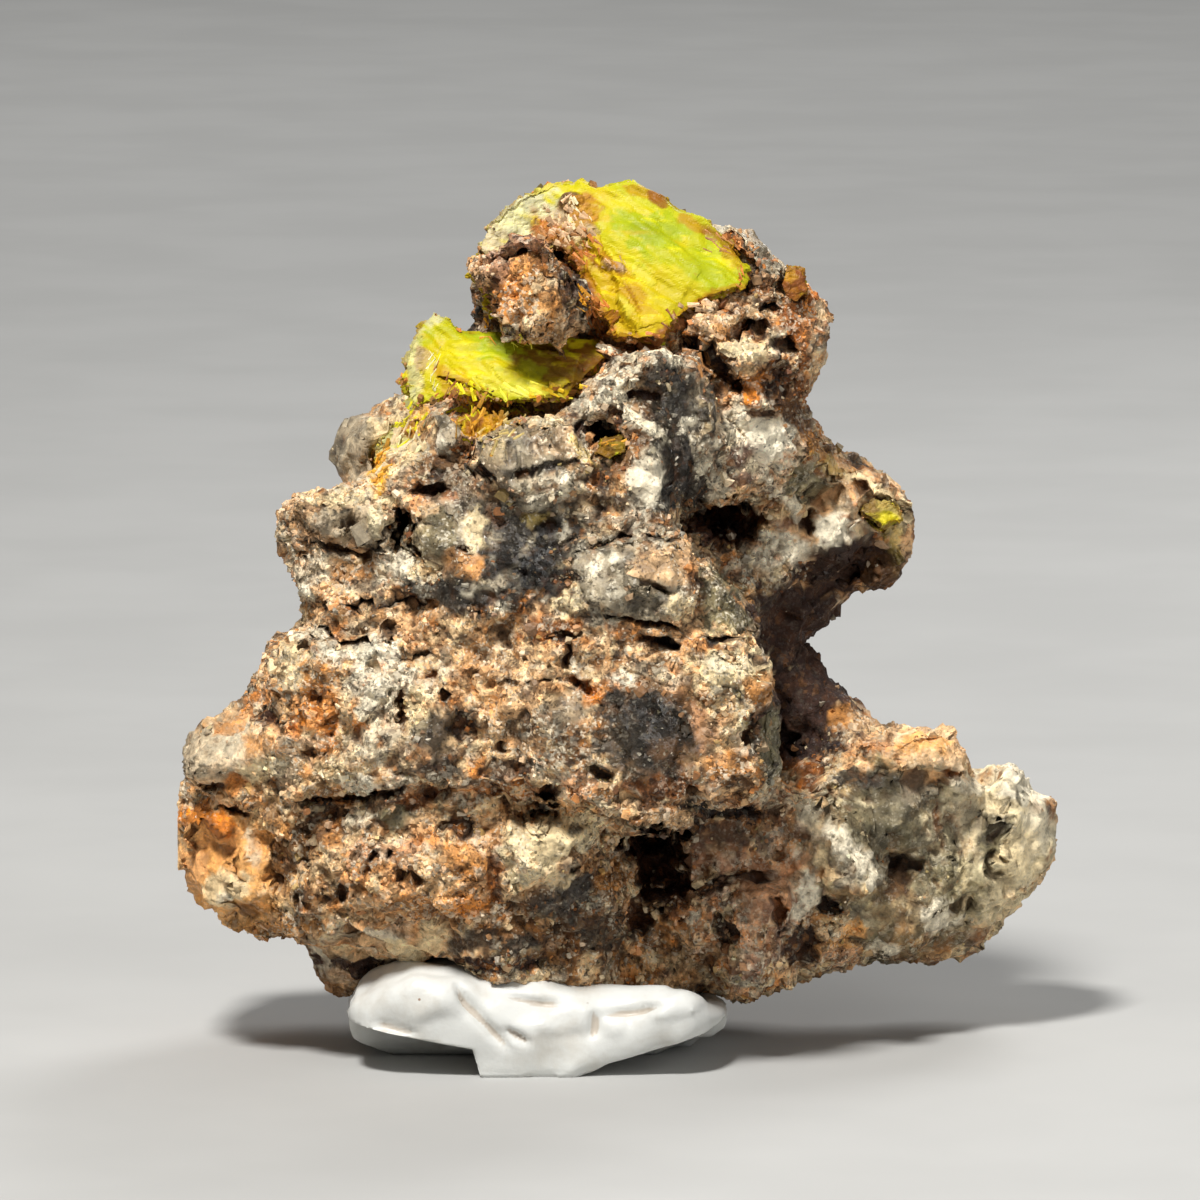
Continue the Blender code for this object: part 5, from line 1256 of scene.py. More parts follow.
def scatter_grains(name, ground, seed, count, size, spread, kinds, own, accept, extra="glassy"):
    """A joined mesh of small angular grains sitting in the ground's surface.

    The size is in millimetres. A grain keeps the own share of its colour and takes the rest from the ground.
    What accept gives is how likely a grain is, from the place, its normal, the extra value and the hollow.
    """
    rng = np.random.default_rng(seed)
    mesh = ground.data
    mesh.calc_loop_triangles()
    tris = read_all(mesh.loop_triangles, "vertices", 3, np.int64)
    co, normals = positions(mesh), vertex_normals(mesh)
    field, hollow = stored_value(mesh, extra), stored_value(mesh, "hollow")
    a, b, c = (co[tris[:, k]] for k in range(3))
    area = np.linalg.norm(np.cross(b - a, c - a), axis=1)
    mid = (a + b + c) / 3
    means = [values[tris].mean(axis=1) for values in (normals, field, hollow)]
    likely = area * accept(mid, *means)
    pick = rng.choice(len(tris), count, p=likely / likely.sum())
    u, v = rng.random((2, count, 1))
    flip = u + v > 1
    u, v = np.where(flip, 1 - u, u), np.where(flip, 1 - v, v)
    at = a[pick] + u * (b[pick] - a[pick]) + v * (c[pick] - a[pick])
    facing = normals[tris[pick]].mean(axis=1)
    scale = size * MM * np.exp(rng.normal(0, spread, count))
    squeeze = rng.uniform(0.6, 1.25, (count, 3)) * scale[:, None]
    turns = random_turns(rng, count)
    at = at - facing * (GRAIN_SUNK * scale)[:, None]
    colours, odds = kinds
    colour = np.array(colours)[rng.choice(len(colours), count, p=odds)]
    below = stored_colour(mesh, "tint")[tris[pick, 0]]
    colour = below + (colour - below) * own
    colour *= rng.uniform(0.72, 1.3, (count, 1))

    templates = [chip_template(rng) for _ in range(GRAIN_SHAPES)]
    which = rng.integers(0, len(templates), count)
    verts, faces, shades, start = [], [], [], 0
    for number, (shape, triangles) in enumerate(templates):
        mine = np.nonzero(which == number)[0]
        local = shape[None] * squeeze[mine][:, None]
        placed = np.einsum("nij,nvj->nvi", turns[mine], local) + at[mine][:, None]
        verts.append(placed.reshape(-1, 3))
        shift = start + np.arange(len(mine)) * len(shape)
        faces.append((triangles[None] + shift[:, None, None]).reshape(-1, 3))
        shades.append(np.repeat(colour[mine], len(shape), axis=0))
        start += len(mine) * len(shape)
    obj = joined_object(name, verts, faces, shades, 0.004, 0.92)
    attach(obj, "root")
    return obj


# ---------------------------------------------------------------------------------------------- materials


class Nodes:
    """A short way to wire up a material's nodes."""

    def __init__(self, name):
        self.material = bpy.data.materials.new(name)
        self.material.use_nodes = True
        self.tree = self.material.node_tree
        self.shader = self.tree.nodes["Principled BSDF"]

    def add(self, kind, **settings):
        node = self.tree.nodes.new("ShaderNode" + kind)
        for key, value in settings.items():
            setattr(node, key, value)
        return node

    def link(self, source, socket):
        self.tree.links.new(source, socket)

    def attribute(self, name):
        return self.add("Attribute", attribute_name=name)

    def noise(self, scale, detail=4.0, roughness=0.55, distortion=0.0, vector=None, output="Fac"):
        node = self.add("TexNoise")
        node.inputs["Scale"].default_value = scale
        node.inputs["Detail"].default_value = detail
        node.inputs["Roughness"].default_value = roughness
        node.inputs["Distortion"].default_value = distortion
        self.link(self.place() if vector is None else vector, node.inputs["Vector"])
        return node.outputs[output]

    def voronoi(self, scale, feature="F1", output="Distance"):
        node = self.add("TexVoronoi", feature=feature)
        node.inputs["Scale"].default_value = scale
        self.link(self.place(), node.inputs["Vector"])
        return node.outputs[output]

    def scattered(self, swing, wave):
        """Coordinates pushed about by noise, so that cells drawn on them have uneven outlines."""
        push = self.add("VectorMath", operation="MULTIPLY_ADD")
        self.link(self.noise(wave, 2.0, 0.5, output="Color"), push.inputs[0])
        push.inputs[1].default_value = (swing,) * 3
        self.link(self.place(), push.inputs[2])
        return push.outputs["Vector"]

    def mosaic(self, scale, swing):
        """Small crystals side by side: three random numbers for each, and the height of its tilted face."""
        vector = self.scattered(swing, scale * 0.8)
        cells = self.add("TexVoronoi", feature="F1")
        cells.inputs["Scale"].default_value = scale
        self.link(vector, cells.inputs["Vector"])
        split = self.add("SeparateColor")
        self.link(cells.outputs["Color"], split.inputs["Color"])
        local = self.add("VectorMath", operation="SUBTRACT")
        self.link(vector, local.inputs[0])
        self.link(cells.outputs["Position"], local.inputs[1])
        lean = self.add("VectorMath", operation="SUBTRACT")
        self.link(cells.outputs["Color"], lean.inputs[0])
        lean.inputs[1].default_value = (0.5, 0.5, 0.5)
        tilt = self.add("VectorMath", operation="DOT_PRODUCT")
        self.link(local.outputs["Vector"], tilt.inputs[0])
        self.link(lean.outputs["Vector"], tilt.inputs[1])
        return split.outputs["Red"], split.outputs["Green"], split.outputs["Blue"], tilt.outputs["Value"]

    def grey(self, value):
        joined = self.add("CombineColor")
        for channel in ("Red", "Green", "Blue"):
            self.link(value, joined.inputs[channel])
        return joined.outputs["Color"]

    def place(self):
        if not hasattr(self, "coordinates"):
            self.coordinates = self.add("TexCoord").outputs["Object"]
        return self.coordinates

    def ramp(self, value, low, high, first=0.0, last=1.0):
        node = self.add("MapRange")
        node.interpolation_type = "SMOOTHSTEP"
        for socket, number in zip(node.inputs[1:5], (low, high, first, last)):
            socket.default_value = number
        self.link(value, node.inputs["Value"])
        return node.outputs["Result"]

    def mix(self, amount, first, second, mode="MIX"):
        node = self.add("Mix", data_type="RGBA", blend_type=mode)
        for socket, value in zip((node.inputs[0], node.inputs[6], node.inputs[7]), (amount, first, second)):
            if isinstance(value, bpy.types.NodeSocket):
                self.link(value, socket)
            elif np.ndim(value) == 0:
                socket.default_value = float(value)
            else:
                socket.default_value = (*[float(v) for v in value], 1.0)
        return node.outputs[2]

    def maths(self, operation, first, second=0.0):
        node = self.add("Math", operation=operation)
        for socket, value in zip(node.inputs, (first, second)):
            if isinstance(value, bpy.types.NodeSocket):
                self.link(value, socket)
            else:
                socket.default_value = value
        return node.outputs["Value"]

    def times(self, first, *others):
        """The product of all these values."""
        for other in others:
            first = self.maths("MULTIPLY", first, other)
        return first

    def less(self, whole, taken):
        return self.maths("SUBTRACT", whole, taken)

    def plus(self, first, second):
        return self.maths("ADD", first, second)

    def let_light_in(self, share, radius, scale):
        """A share of light that scatters below the surface, as far as the scale in metres."""
        for name, value in (("Weight", share), ("Radius", radius), ("Scale", scale)):
            self.shader.inputs["Subsurface " + name].default_value = value

    def bump(self, height, distance, strength=1.0, below=None):
        node = self.add("Bump")
        node.inputs["Strength"].default_value = strength
        node.inputs["Distance"].default_value = distance
        self.link(height, node.inputs["Height"])
        if below is not None:
            self.link(below, node.inputs["Normal"])
        return node.outputs["Normal"]


def rock_material():
    """Tiny crystals side by side, each with its own tone and tilt, on top of the stored colour."""
    n = Nodes("rock_matrix")
    tint = n.attribute("tint").outputs["Color"]
    glassy, calm, hollow = (n.attribute(name).outputs["Fac"] for name in ("glassy", "calm", "hollow"))
    lively = n.less(1.0, n.times(calm, 0.6))
    granular = n.times(n.less(1.0, n.times(glassy, 0.85)), lively)
    vitreous = n.times(glassy, lively)
    lightness = n.add("RGBToBW")
    n.link(tint, lightness.inputs["Color"])
    pale = n.ramp(lightness.outputs["Val"], 0.0, 0.16, 0.15, 1.0)
    # White specks are kept out of the hollows, so that the painted shade there stays dark.
    open_pale = n.times(pale, n.ramp(hollow, 0.06, 0.18, 1.0, 0.05))

    kind, shade, spark, tilt = n.mosaic(4700, 0.00018)
    small_kind, _, small_spark, small_tilt = n.mosaic(10500, 0.00008)
    broken = n.mosaic(1600, 0.0005)[3]
    crowd = n.ramp(n.noise(800, 3, 0.6), 0.35, 0.65, -0.14, 0.14)
    salted = n.ramp(n.plus(kind, crowd), 0.84, 0.88, 0.0, 0.36)
    peppered = n.ramp(n.plus(kind, crowd), 0.14, 0.09, 0.0, 0.50)
    frosted = n.ramp(n.plus(small_kind, n.times(crowd, 1.6)), 0.94, 0.97, 0.0, 0.55)
    colour = n.mix(n.times(salted, granular, open_pale), tint, WHITE)
    colour = n.mix(n.times(peppered, granular), colour, DEEP_BROWN)
    colour = n.mix(n.times(n.ramp(spark, 0.88, 0.92, 0.0, 0.30), granular), colour, OCHRE)
    colour = n.mix(n.times(frosted, lively, open_pale), colour, WHITE)
    colour = n.mix(n.times(n.ramp(small_kind, 0.10, 0.07, 0.0, 0.55), lively), colour, DARK)
    swing = n.times(n.less(shade, 0.5), n.times(granular, 0.60))
    colour = n.mix(1.0, colour, n.grey(n.plus(swing, 1.05)), "MULTIPLY")
    colour = n.mix(1.0, colour, n.grey(n.ramp(n.noise(2200, 6, 0.7), 0.3, 0.7, 0.74, 1.30)), "MULTIPLY")
    n.link(colour, n.shader.inputs["Base Color"])

    rough = n.less(0.86, n.times(vitreous, 0.46))
    glint = n.ramp(small_spark, 0.82, 0.88, 0.0, -0.42)
    n.link(n.plus(rough, glint), n.shader.inputs["Roughness"])

    steep = n.times(tilt, n.times(granular, 1.15))
    steep_small = n.times(small_tilt, n.plus(n.times(granular, 0.9), 0.25))
    steep_broad = n.times(broken, n.times(vitreous, 1.4))
    faces = n.bump(n.plus(n.plus(steep, steep_small), steep_broad), 1.0)
    n.link(n.bump(n.noise(6500, 6, 0.7), 0.00007, 0.7, below=faces), n.shader.inputs["Normal"])
    n.shader.inputs["IOR"].default_value = 1.5
    return n.material


def grain_material(name, roughness, swing):
    """Stored colour with a little cloud, and a roughness that goes this far up and down."""
    n = Nodes(name)
    cloud = n.ramp(n.noise(6000, 3, 0.6), 0.3, 0.7, 0.75, 1.2)
    colour = n.mix(1.0, n.attribute("tint").outputs["Color"], n.grey(cloud), "MULTIPLY")
    n.link(colour, n.shader.inputs["Base Color"])
    sheen = n.ramp(n.noise(9000, 2, 0.5), 0.35, 0.65, roughness - swing, roughness + swing)
    n.link(sheen, n.shader.inputs["Roughness"])
    n.link(n.bump(n.noise(14000, 3, 0.6), 0.00004, 0.6), n.shader.inputs["Normal"])
    n.shader.inputs["IOR"].default_value = 1.54
    return n.material


def paint(obj, material, smooth=False):
    obj.data.materials.clear()
    obj.data.materials.append(material)
    obj.data.polygons.foreach_set("use_smooth", np.full(len(obj.data.polygons), smooth))


whole_rock, rock_pieces = build_rock()
matrix_material = rock_material()
for piece in rock_pieces:
    paint(piece, matrix_material, smooth=True)


def towards_front(mid, facing):
    """Grains lie mostly on the showing side, and seldom on what is worn smooth."""
    return (0.15 + smoothstep(-0.3, 0.3, -facing[:, 1] + 0.3 * facing[:, 2])) * (1 - 0.88 * calmness(mid))


def on_granular(mid, facing, glassy, hollow):
    """Grains lie in swarms on the granular parts, fewer at the back and none in the hollows."""
    swarm = smoothstep(-0.1, 0.5, fractal(mid / MM / 1.3, 401, 3, 0.6))
    return towards_front(mid, facing) * swarm * (1 - smoothstep(0.10, 0.24, hollow)) * (1 - 0.93 * glassy)


def on_glassy(mid, facing, glassy, hollow):
    """Grains lie in smaller swarms on the glassy parts."""
    swarm = smoothstep(0.1, 0.6, fractal(mid / MM / 0.9, 411, 3, 0.6))
    return towards_front(mid, facing) * swarm * (0.1 + glassy) * (1 - smoothstep(0.08, 0.2, hollow))


book_trees = [surface_tree(node) for name, node in nodes.items() if name.startswith("uranocircite")]


def near_books(point):
    return any(tree.find_nearest(point, CRUMB_REACH)[0] is not None for tree in book_trees)


def by_books(mid, facing, _glassy, _hollow):
    """Crumbs crowd along the rims of the crystal books."""
    return np.array([near_books(point) for point in mid]) * towards_front(mid, facing)


# Colours of the grains, and how common each is.
PALE_KINDS = ([WHITE, CREAM, TAN, FROST], [0.2, 0.35, 0.3, 0.15])
STAINED_KINDS = ([ORANGE, RUST, BROWN, OCHRE, STRAW], [0.15, 0.2, 0.2, 0.35, 0.1])
SMOKY_KINDS = ([GREY, SMOKY, WHITE, GREEN_GREY, FROST], [0.35, 0.2, 0.1, 0.15, 0.2])
RIM_KINDS = ([RUST, OCHRE, ORANGE, TAN, DEEP_BROWN], [0.25, 0.3, 0.2, 0.15, 0.1])

# Name, seed, count, size in millimetres, spread of the sizes, colours, share of their own colour, where they
# lie, roughness, and how far the roughness goes up and down.
GRAINS = [
    ("feldspar_grains", 301, 3800, 0.095, 0.45, PALE_KINDS, 0.40, on_granular, 0.55, 0.18),
    ("stained_grains", 302, 4600, 0.090, 0.42, STAINED_KINDS, 0.40, on_granular, 0.7, 0.15),
    ("quartz_grains", 303, 1700, 0.070, 0.50, SMOKY_KINDS, 0.40, on_glassy, 0.36, 0.16),
    ("rim_crumbs", 304, 1500, 0.115, 0.38, RIM_KINDS, 0.75, by_books, 0.7, 0.15),
]
for name, *settings, roughness, swing in GRAINS:
    grains = scatter_grains(name, whole_rock, *settings)
    paint(grains, grain_material(name, roughness, swing))
bpy.data.objects.remove(whole_rock)


# ---------------------------------------------------------------------------------------------- crystals

# How much further away each book's flat face gets for each millimetre up.
BOOKS = {
    "uranocircite_upper_book": 0.50,
    "uranocircite_lower_book": 0.55,
    "uranocircite_left_book": 0.30,
    "uranocircite_right_book": 0.20,
    "uranocircite_shoulder_book": 0.20,
    "uranocircite_knob_sliver": 0.10,
    "uranocircite_hollow_flake": 0.40,
    "uranocircite_ridge_book": 0.35,
}
DRAWN_IN = ("uranocircite_knob_sliver",)
YELLOW = srgb(228, 214, 2)
GOLD = srgb(226, 188, 6)
CHARTREUSE = srgb(186, 200, 4)
LEAF_GREEN = srgb(150, 168, 8)
PALE_LEMON = srgb(240, 230, 66)
CRUST = srgb(236, 230, 178)
AMBER = srgb(206, 142, 22)
STAIN = srgb(156, 86, 26)
OLIVE = srgb(140, 102, 6)
LEMON_YELLOW = srgb(242, 228, 16)
DULL_GOLD = srgb(140, 102, 30)

# Colour on the books: across, up, half width, half height, turn, raise, colour, strength.
BOOK_SPOTS = [Spot(*row) for row in (
    # crust at the top left, and the torn sheets beside it
    (-1.6, 33.6, 2.3, 1.9, CRUST, 1.0),
    (-2.7, 32.6, 0.6, 0.8, CREAM, 0.7),
    (-1.0, 34.9, 1.2, 0.25, PALE_LEMON, 0.8, 15),
    (0.3, 33.2, 1.1, 1.3, TAN, 0.95, -20, 0.1),
    (-0.4, 33.1, 0.7, 0.5, ORANGE, 0.9, -30, 0.1),
    (0.6, 32.3, 0.9, 0.45, OCHRE, 0.9, -45),
    (0.8, 33.1, 0.4, 0.6, CREAM, 0.7, -30, 0.1),
    (0.45, 34.4, 0.45, 0.4, BROWN, 0.9, 0, 0.1),
    (-0.2, 33.9, 0.4, 0.25, CREAM, 0.8),
    (1.0, 34.0, 0.5, 0.8, AMBER, 0.8, 15),
    # main face
    (3.4, 33.3, 1.7, 0.8, CHARTREUSE, 0.9, -12),
    (3.5, 33.1, 0.9, 0.4, LEAF_GREEN, 0.5, -12),
    (5.2, 32.0, 1.8, 0.9, CHARTREUSE, 0.6, -20),
    (2.6, 34.4, 0.9, 0.3, PALE_LEMON, 0.5),
    (3.3, 34.7, 0.8, 0.2, AMBER, 0.6, -15),
    (3.9, 34.5, 0.5, 0.3, STAIN, 0.85, -30),
    (5.2, 33.5, 0.7, 0.25, AMBER, 0.7, -25),
    (6.4, 32.8, 1.0, 0.25, STAIN, 0.7, -38),
    (6.9, 32.1, 0.6, 0.4, AMBER, 0.6, -40),
    (3.6, 30.6, 1.5, 1.0, GOLD, 0.45, -20),
    (2.6, 31.0, 0.5, 1.6, AMBER, 0.5, 28),
    (3.3, 31.4, 0.7, 0.25, PALE_LEMON, 0.6, -48, 0.06),
    (4.6, 31.3, 0.9, 0.3, YELLOW, 0.8, -30),
    # a painted highlight on the book's face
    (2.7, 30.0, 0.9, 0.2, PALE_LEMON, 0.6, -55, 0.08),
    (3.2, 29.4, 1.3, 0.6, GOLD, 0.8, -8),
    (2.6, 28.85, 1.2, 0.22, AMBER, 0.9),
    (4.4, 29.0, 0.6, 0.4, STAIN, 0.9),
    (3.0, 28.6, 1.2, 0.25, STAIN, 0.8),
    (5.4, 30.1, 0.9, 0.25, AMBER, 0.8, 30),
    (6.6, 30.7, 0.8, 0.2, AMBER, 0.6, 15),
    # the strip that has split off along its left side
    (1.6, 30.9, 2.3, 0.62, GOLD, 0.7, -66, -0.28),
    (1.4, 30.6, 2.2, 0.22, AMBER, 0.9, -66),
    (2.5, 31.2, 1.6, 0.07, STAIN, 0.5, -62, -0.06),
    (2.2, 31.8, 0.5, 0.22, TAN, 1.0, -34, 0.15),
    (1.7, 32.3, 0.8, 0.14, AMBER, 0.9, -48, 0.05),
    (1.2, 32.2, 0.7, 0.10, STAIN, 0.8, -48),
    (1.4, 32.7, 0.5, 0.25, GOLD, 0.8, -45, 0.1),
    (0.9, 31.3, 1.2, 0.18, STAIN, 0.9, -60),
    (1.5, 29.9, 1.1, 0.16, STAIN, 0.8, -60),
    # lower book
    (-5.8, 28.2, 0.4, 2.0, CRUST, 0.7),
    (-5.0, 29.7, 0.5, 0.3, CRUST, 0.8),
    (-5.4, 27.9, 0.3, 0.6, TAN, 0.7),
    (-5.3, 28.9, 0.3, 0.4, CHARTREUSE, 0.5),
    (-2.6, 28.5, 1.4, 0.5, CHARTREUSE, 0.9, -12),
    (-2.5, 28.8, 0.3, 0.14, LEAF_GREEN, 0.8),
    (-2.4, 27.5, 0.25, 0.12, LEAF_GREEN, 0.6),
    (-3.9, 28.2, 0.9, 0.6, YELLOW, 0.8),
    (-2.9, 27.4, 1.0, 0.4, PALE_LEMON, 0.5, -15),
    # the painted shadow of the knob on the book's right half
    (0.2, 27.7, 1.9, 0.9, OLIVE, 1.0),
    (0.9, 28.0, 0.9, 0.5, STAIN, 0.4),
    (-1.2, 27.4, 0.5, 0.5, CHARTREUSE, 0.5),
    (-0.8, 26.5, 1.5, 0.4, PALE_LEMON, 0.8, -8),
    (0.4, 26.5, 0.7, 0.22, GOLD, 0.9, -15),
    (-3.6, 26.9, 0.7, 0.3, AMBER, 0.7, -30),
    (-4.5, 27.0, 0.3, 0.7, AMBER, 0.6, 20),
    # small books
    (-2.8, 25.2, 1.2, 0.7, AMBER, 0.9),
    (-3.4, 25.4, 0.4, 0.5, STAIN, 0.7),
    (-1.9, 25.0, 0.5, 0.4, GOLD, 0.7),
    (-6.6, 24.6, 1.0, 1.0, CRUST, 0.7),
    (-6.3, 24.4, 0.4, 0.25, YELLOW, 0.8, 40),
    (-6.0, 25.3, 0.4, 0.3, ORANGE, 0.8),
    (-7.3, 23.6, 0.4, 0.5, AMBER, 0.8),
    (2.0, 24.6, 0.9, 0.7, DULL_GOLD, 1.0),
    (12.9, 21.9, 1.2, 0.9, STRAW, 0.85),
    (13.1, 21.7, 0.5, 0.3, YELLOW, 0.8, -20),
    (12.4, 22.2, 0.5, 0.4, BROWN, 0.7),
    (9.3, 31.0, 0.8, 1.0, RUST, 1.0),
    (9.1, 31.4, 0.3, 0.3, GOLDEN, 0.9),
    (-3.4, 30.6, 0.8, 1.4, GOLD, 0.5),
)]
BOOK_SHADE = 0.62  # a factor on all the books' colours
# Chalky or torn parts of the books: across, up, half width, half height.
CRUSTS = [
    (-1.8, 33.6, 2.2, 1.9),
    (0.3, 33.4, 1.1, 1.3),
    (-5.9, 28.0, 0.6, 2.2),
    (-6.5, 24.6, 1.3, 1.4),
    (-2.8, 25.4, 1.4, 1.0),
]


def build_book(name, lean):
    """A pile of thin plates: flat faces broken into low steps, and layered ragged edges."""
    node = nodes[name]
    size = max(node.dimensions) / MM
    small = 1 - smoothstep(2.5, 5.0, np.array(size))
    book = remeshed_copy(name.replace("uranocircite", "crystal"), node, min(BOOK_VOXEL, size / 50 * MM))
    mesh = book.data
    pairs = edge_pairs(mesh)
    co = warped(positions(mesh)) if name in DRAWN_IN else positions(mesh)
    across, up, _ = shown(co)
    wander = wandering(co / MM)
    facing = Vector((0.0, -1.0, lean + SIGHT_SLOPE)).normalized()
    normal = np.array(facing)
    streak = np.array((STREAK_WAY - facing * STREAK_WAY.dot(facing)).normalized())
    side = np.cross(normal, streak)
    along, over, deep = co @ streak / MM, co @ side / MM, co @ normal / MM
    face_on = vertex_normals(mesh) @ normal
    flat = np.stack([along, over, np.zeros(len(co))], axis=1)
    looks_out = smoothstep(0.4, 0.8, face_on)

    torn = STEP_COUNT * fractal(flat * [0.26, 0.75, 1] + 3.1, 211, 4, 0.5)
    level = np.floor(torn)
    into_step = torn - level
    step = level + smoothstep(0.2, 1.0, into_step)
    co = co + (relaxed(co, pairs, 10) - co) * looks_out[:, None]
    co = pushed(co, normal, np.clip(0.10 * step, -0.3, 0.16) * looks_out * min(1.0, size / 4))
    crusty = with_patches(np.full(len(co), 0.8 * small), CRUSTS, across, up, 0.5 * wander[2], 0.6, 1.2)
    lumpy = 0.10 * fractal(co / MM / 0.5, 243, 4, 0.6) + 0.05 * hashed(np.floor(co / MM / 0.22), 35)
    co = pushed(co, vertex_normals(mesh), lumpy * crusty)
    for spot in BOOK_SPOTS:
        if spot.lift:
            inside = 1 - smoothstep(0.6, 1.2, spot_reach(spot, across, up, wander))
            co = pushed(co, normal, spot.lift * inside * looks_out)

    layer = np.floor(deep / PLATE)
    blocks = hashed(np.stack([layer, np.floor(along * 1.3), np.floor(over * 1.3)], axis=1), 31)
    chips = hashed(np.stack([np.floor(deep / 0.4), np.floor(along * 3.1), np.floor(over * 3.1)], axis=1), 33)
    edge = smoothstep(0.25, 0.75, 1 - np.abs(face_on))
    outward = vertex_normals(mesh) - normal * face_on[:, None]
    notch = smoothstep(0.1, 0.7, fractal(flat / 0.8, 245, 3))
    draw_in = (min(0.30, 0.05 * size) + 0.10 * small) * (blocks + 0.7 * chips + (1.6 + small) * notch - 0.55)
    co = pushed(co, outward, -draw_in * edge)
    dents = smoothstep(0.0, 0.6, fractal(co / MM / 0.6, 247, 3)) * small
    co = pushed(co, vertex_normals(mesh), -0.12 * dents)
    co = pushed(co, vertex_normals(mesh), 0.012 * fractal(co / MM / 0.2, 251, 2))
    set_positions(mesh, kept_in_box(co))

    mm = positions(mesh) / MM
    colour = np.tile(YELLOW, (len(co), 1))
    vary = fractal(flat * [0.35, 0.9, 1], 261, 4, 0.55)
    colour = blended(colour, CHARTREUSE, 0.5 * smoothstep(0.0, 0.6, vary))
    colour = blended(colour, GOLD, 0.5 * smoothstep(0.15, 0.7, -vary))
    streaky_edge = 0.3 * fractal(flat * [1.5, 5.0, 1], 265, 2)
    for spot in BOOK_SPOTS:
        reach = spot_reach(spot, across, up, wander) + streaky_edge
        colour = blended(colour, spot.colour, spot.strength * (1 - smoothstep(0.6, 1.35, reach)))
    sheet = hashed(np.stack([level, layer, np.floor(along * 0.7)], axis=1), 41)
    colour *= (0.96 + 0.08 * sheet)[:, None]
    step_edge = smoothstep(0.70, 0.97, into_step) * looks_out
    step_edge *= smoothstep(-0.2, 0.4, fractal(mm / 1.1, 285, 2))
    colour = blended(colour, LEMON_YELLOW, 0.16 * step_edge)
    colour *= np.exp(0.30 * crusty * fractal(mm / 0.3, 287, 3))[:, None]
    rim = edge * smoothstep(-0.3, 0.4, fractal(mm / 0.8, 281, 3))
    colour = blended(colour, AMBER * 0.8, 0.6 * rim)
    lines = hashed(np.stack([np.floor(deep / 0.06), np.zeros_like(layer), np.floor(along)], axis=1), 43)
    colour *= BOOK_SHADE * (1 - 0.4 * edge * lines)[:, None]
    store_colour(mesh, "tint", np.clip(colour, DARKEST, PALEST))
    store_value(mesh, "hollow", np.zeros(len(co)))
    store_value(mesh, "edge", edge)
    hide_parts(name)
    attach(book, "root")
    return book


def crystal_material():
    """Fine streaks along the plates, on top of the stored colour."""
    n = Nodes("uranocircite_lamellar")
    tint = n.attribute("tint").outputs["Color"]

    def streaks(along, over, detail):
        turned = n.add("Mapping")
        turned.inputs["Rotation"].default_value = (0.0, math.radians(-40), 0.0)
        turned.inputs["Scale"].default_value = (along, over, over)
        n.link(n.place(), turned.inputs["Vector"])
        return n.noise(1.0, detail, 0.62, vector=turned.outputs["Vector"])

    broad, fine = streaks(420, 1500, 5.0), streaks(1600, 6500, 4.0)
    colour = n.mix(n.ramp(broad, 0.54, 0.70, 0.0, 0.40), tint, LEMON_YELLOW)
    colour = n.mix(n.ramp(broad, 0.42, 0.28, 0.0, 0.26), colour, AMBER)
    colour = n.mix(n.ramp(fine, 0.42, 0.30, 0.0, 0.16), colour, OLIVE)
    colour = n.mix(n.ramp(n.noise(2600, 3, 0.6, 0.4), 0.70, 0.75, 0.0, 0.3), colour, STAIN)
    n.link(colour, n.shader.inputs["Base Color"])
    n.link(n.ramp(fine, 0.3, 0.7, 0.40, 0.62), n.shader.inputs["Roughness"])
    lines = n.bump(broad, 0.00005, 0.7)
    lines = n.bump(fine, 0.00003, 0.7, below=lines)
    n.link(n.bump(n.noise(7000, 4, 0.6), 0.00002, 0.5, below=lines), n.shader.inputs["Normal"])
    n.let_light_in(0.08, (1.0, 0.9, 0.1), 0.0003)
    n.shader.inputs["Specular IOR Level"].default_value = 0.22
    return n.material


yellow = crystal_material()
books = {name: build_book(name, lean) for name, lean in BOOKS.items()}
for book in books.values():
    paint(book, yellow)


def on_rim(_mid, facing, edge, _hollow):
    """Dirt sticks to the lower and left rims of a book."""
    return smoothstep(0.3, 0.7, edge) * (0.25 + smoothstep(-0.2, 0.6, -facing[:, 2])) * (facing[:, 1] < 0.5)


for name, count in (("uranocircite_upper_book", 420), ("uranocircite_lower_book", 300)):
    rim_name = books[name].name + "_dirt"
    crumbs = scatter_grains(rim_name, books[name], 320, count, 0.10, 0.45, RIM_KINDS, 0.85, on_rim, "edge")
    paint(crumbs, grain_material(rim_name, 0.7, 0.15))


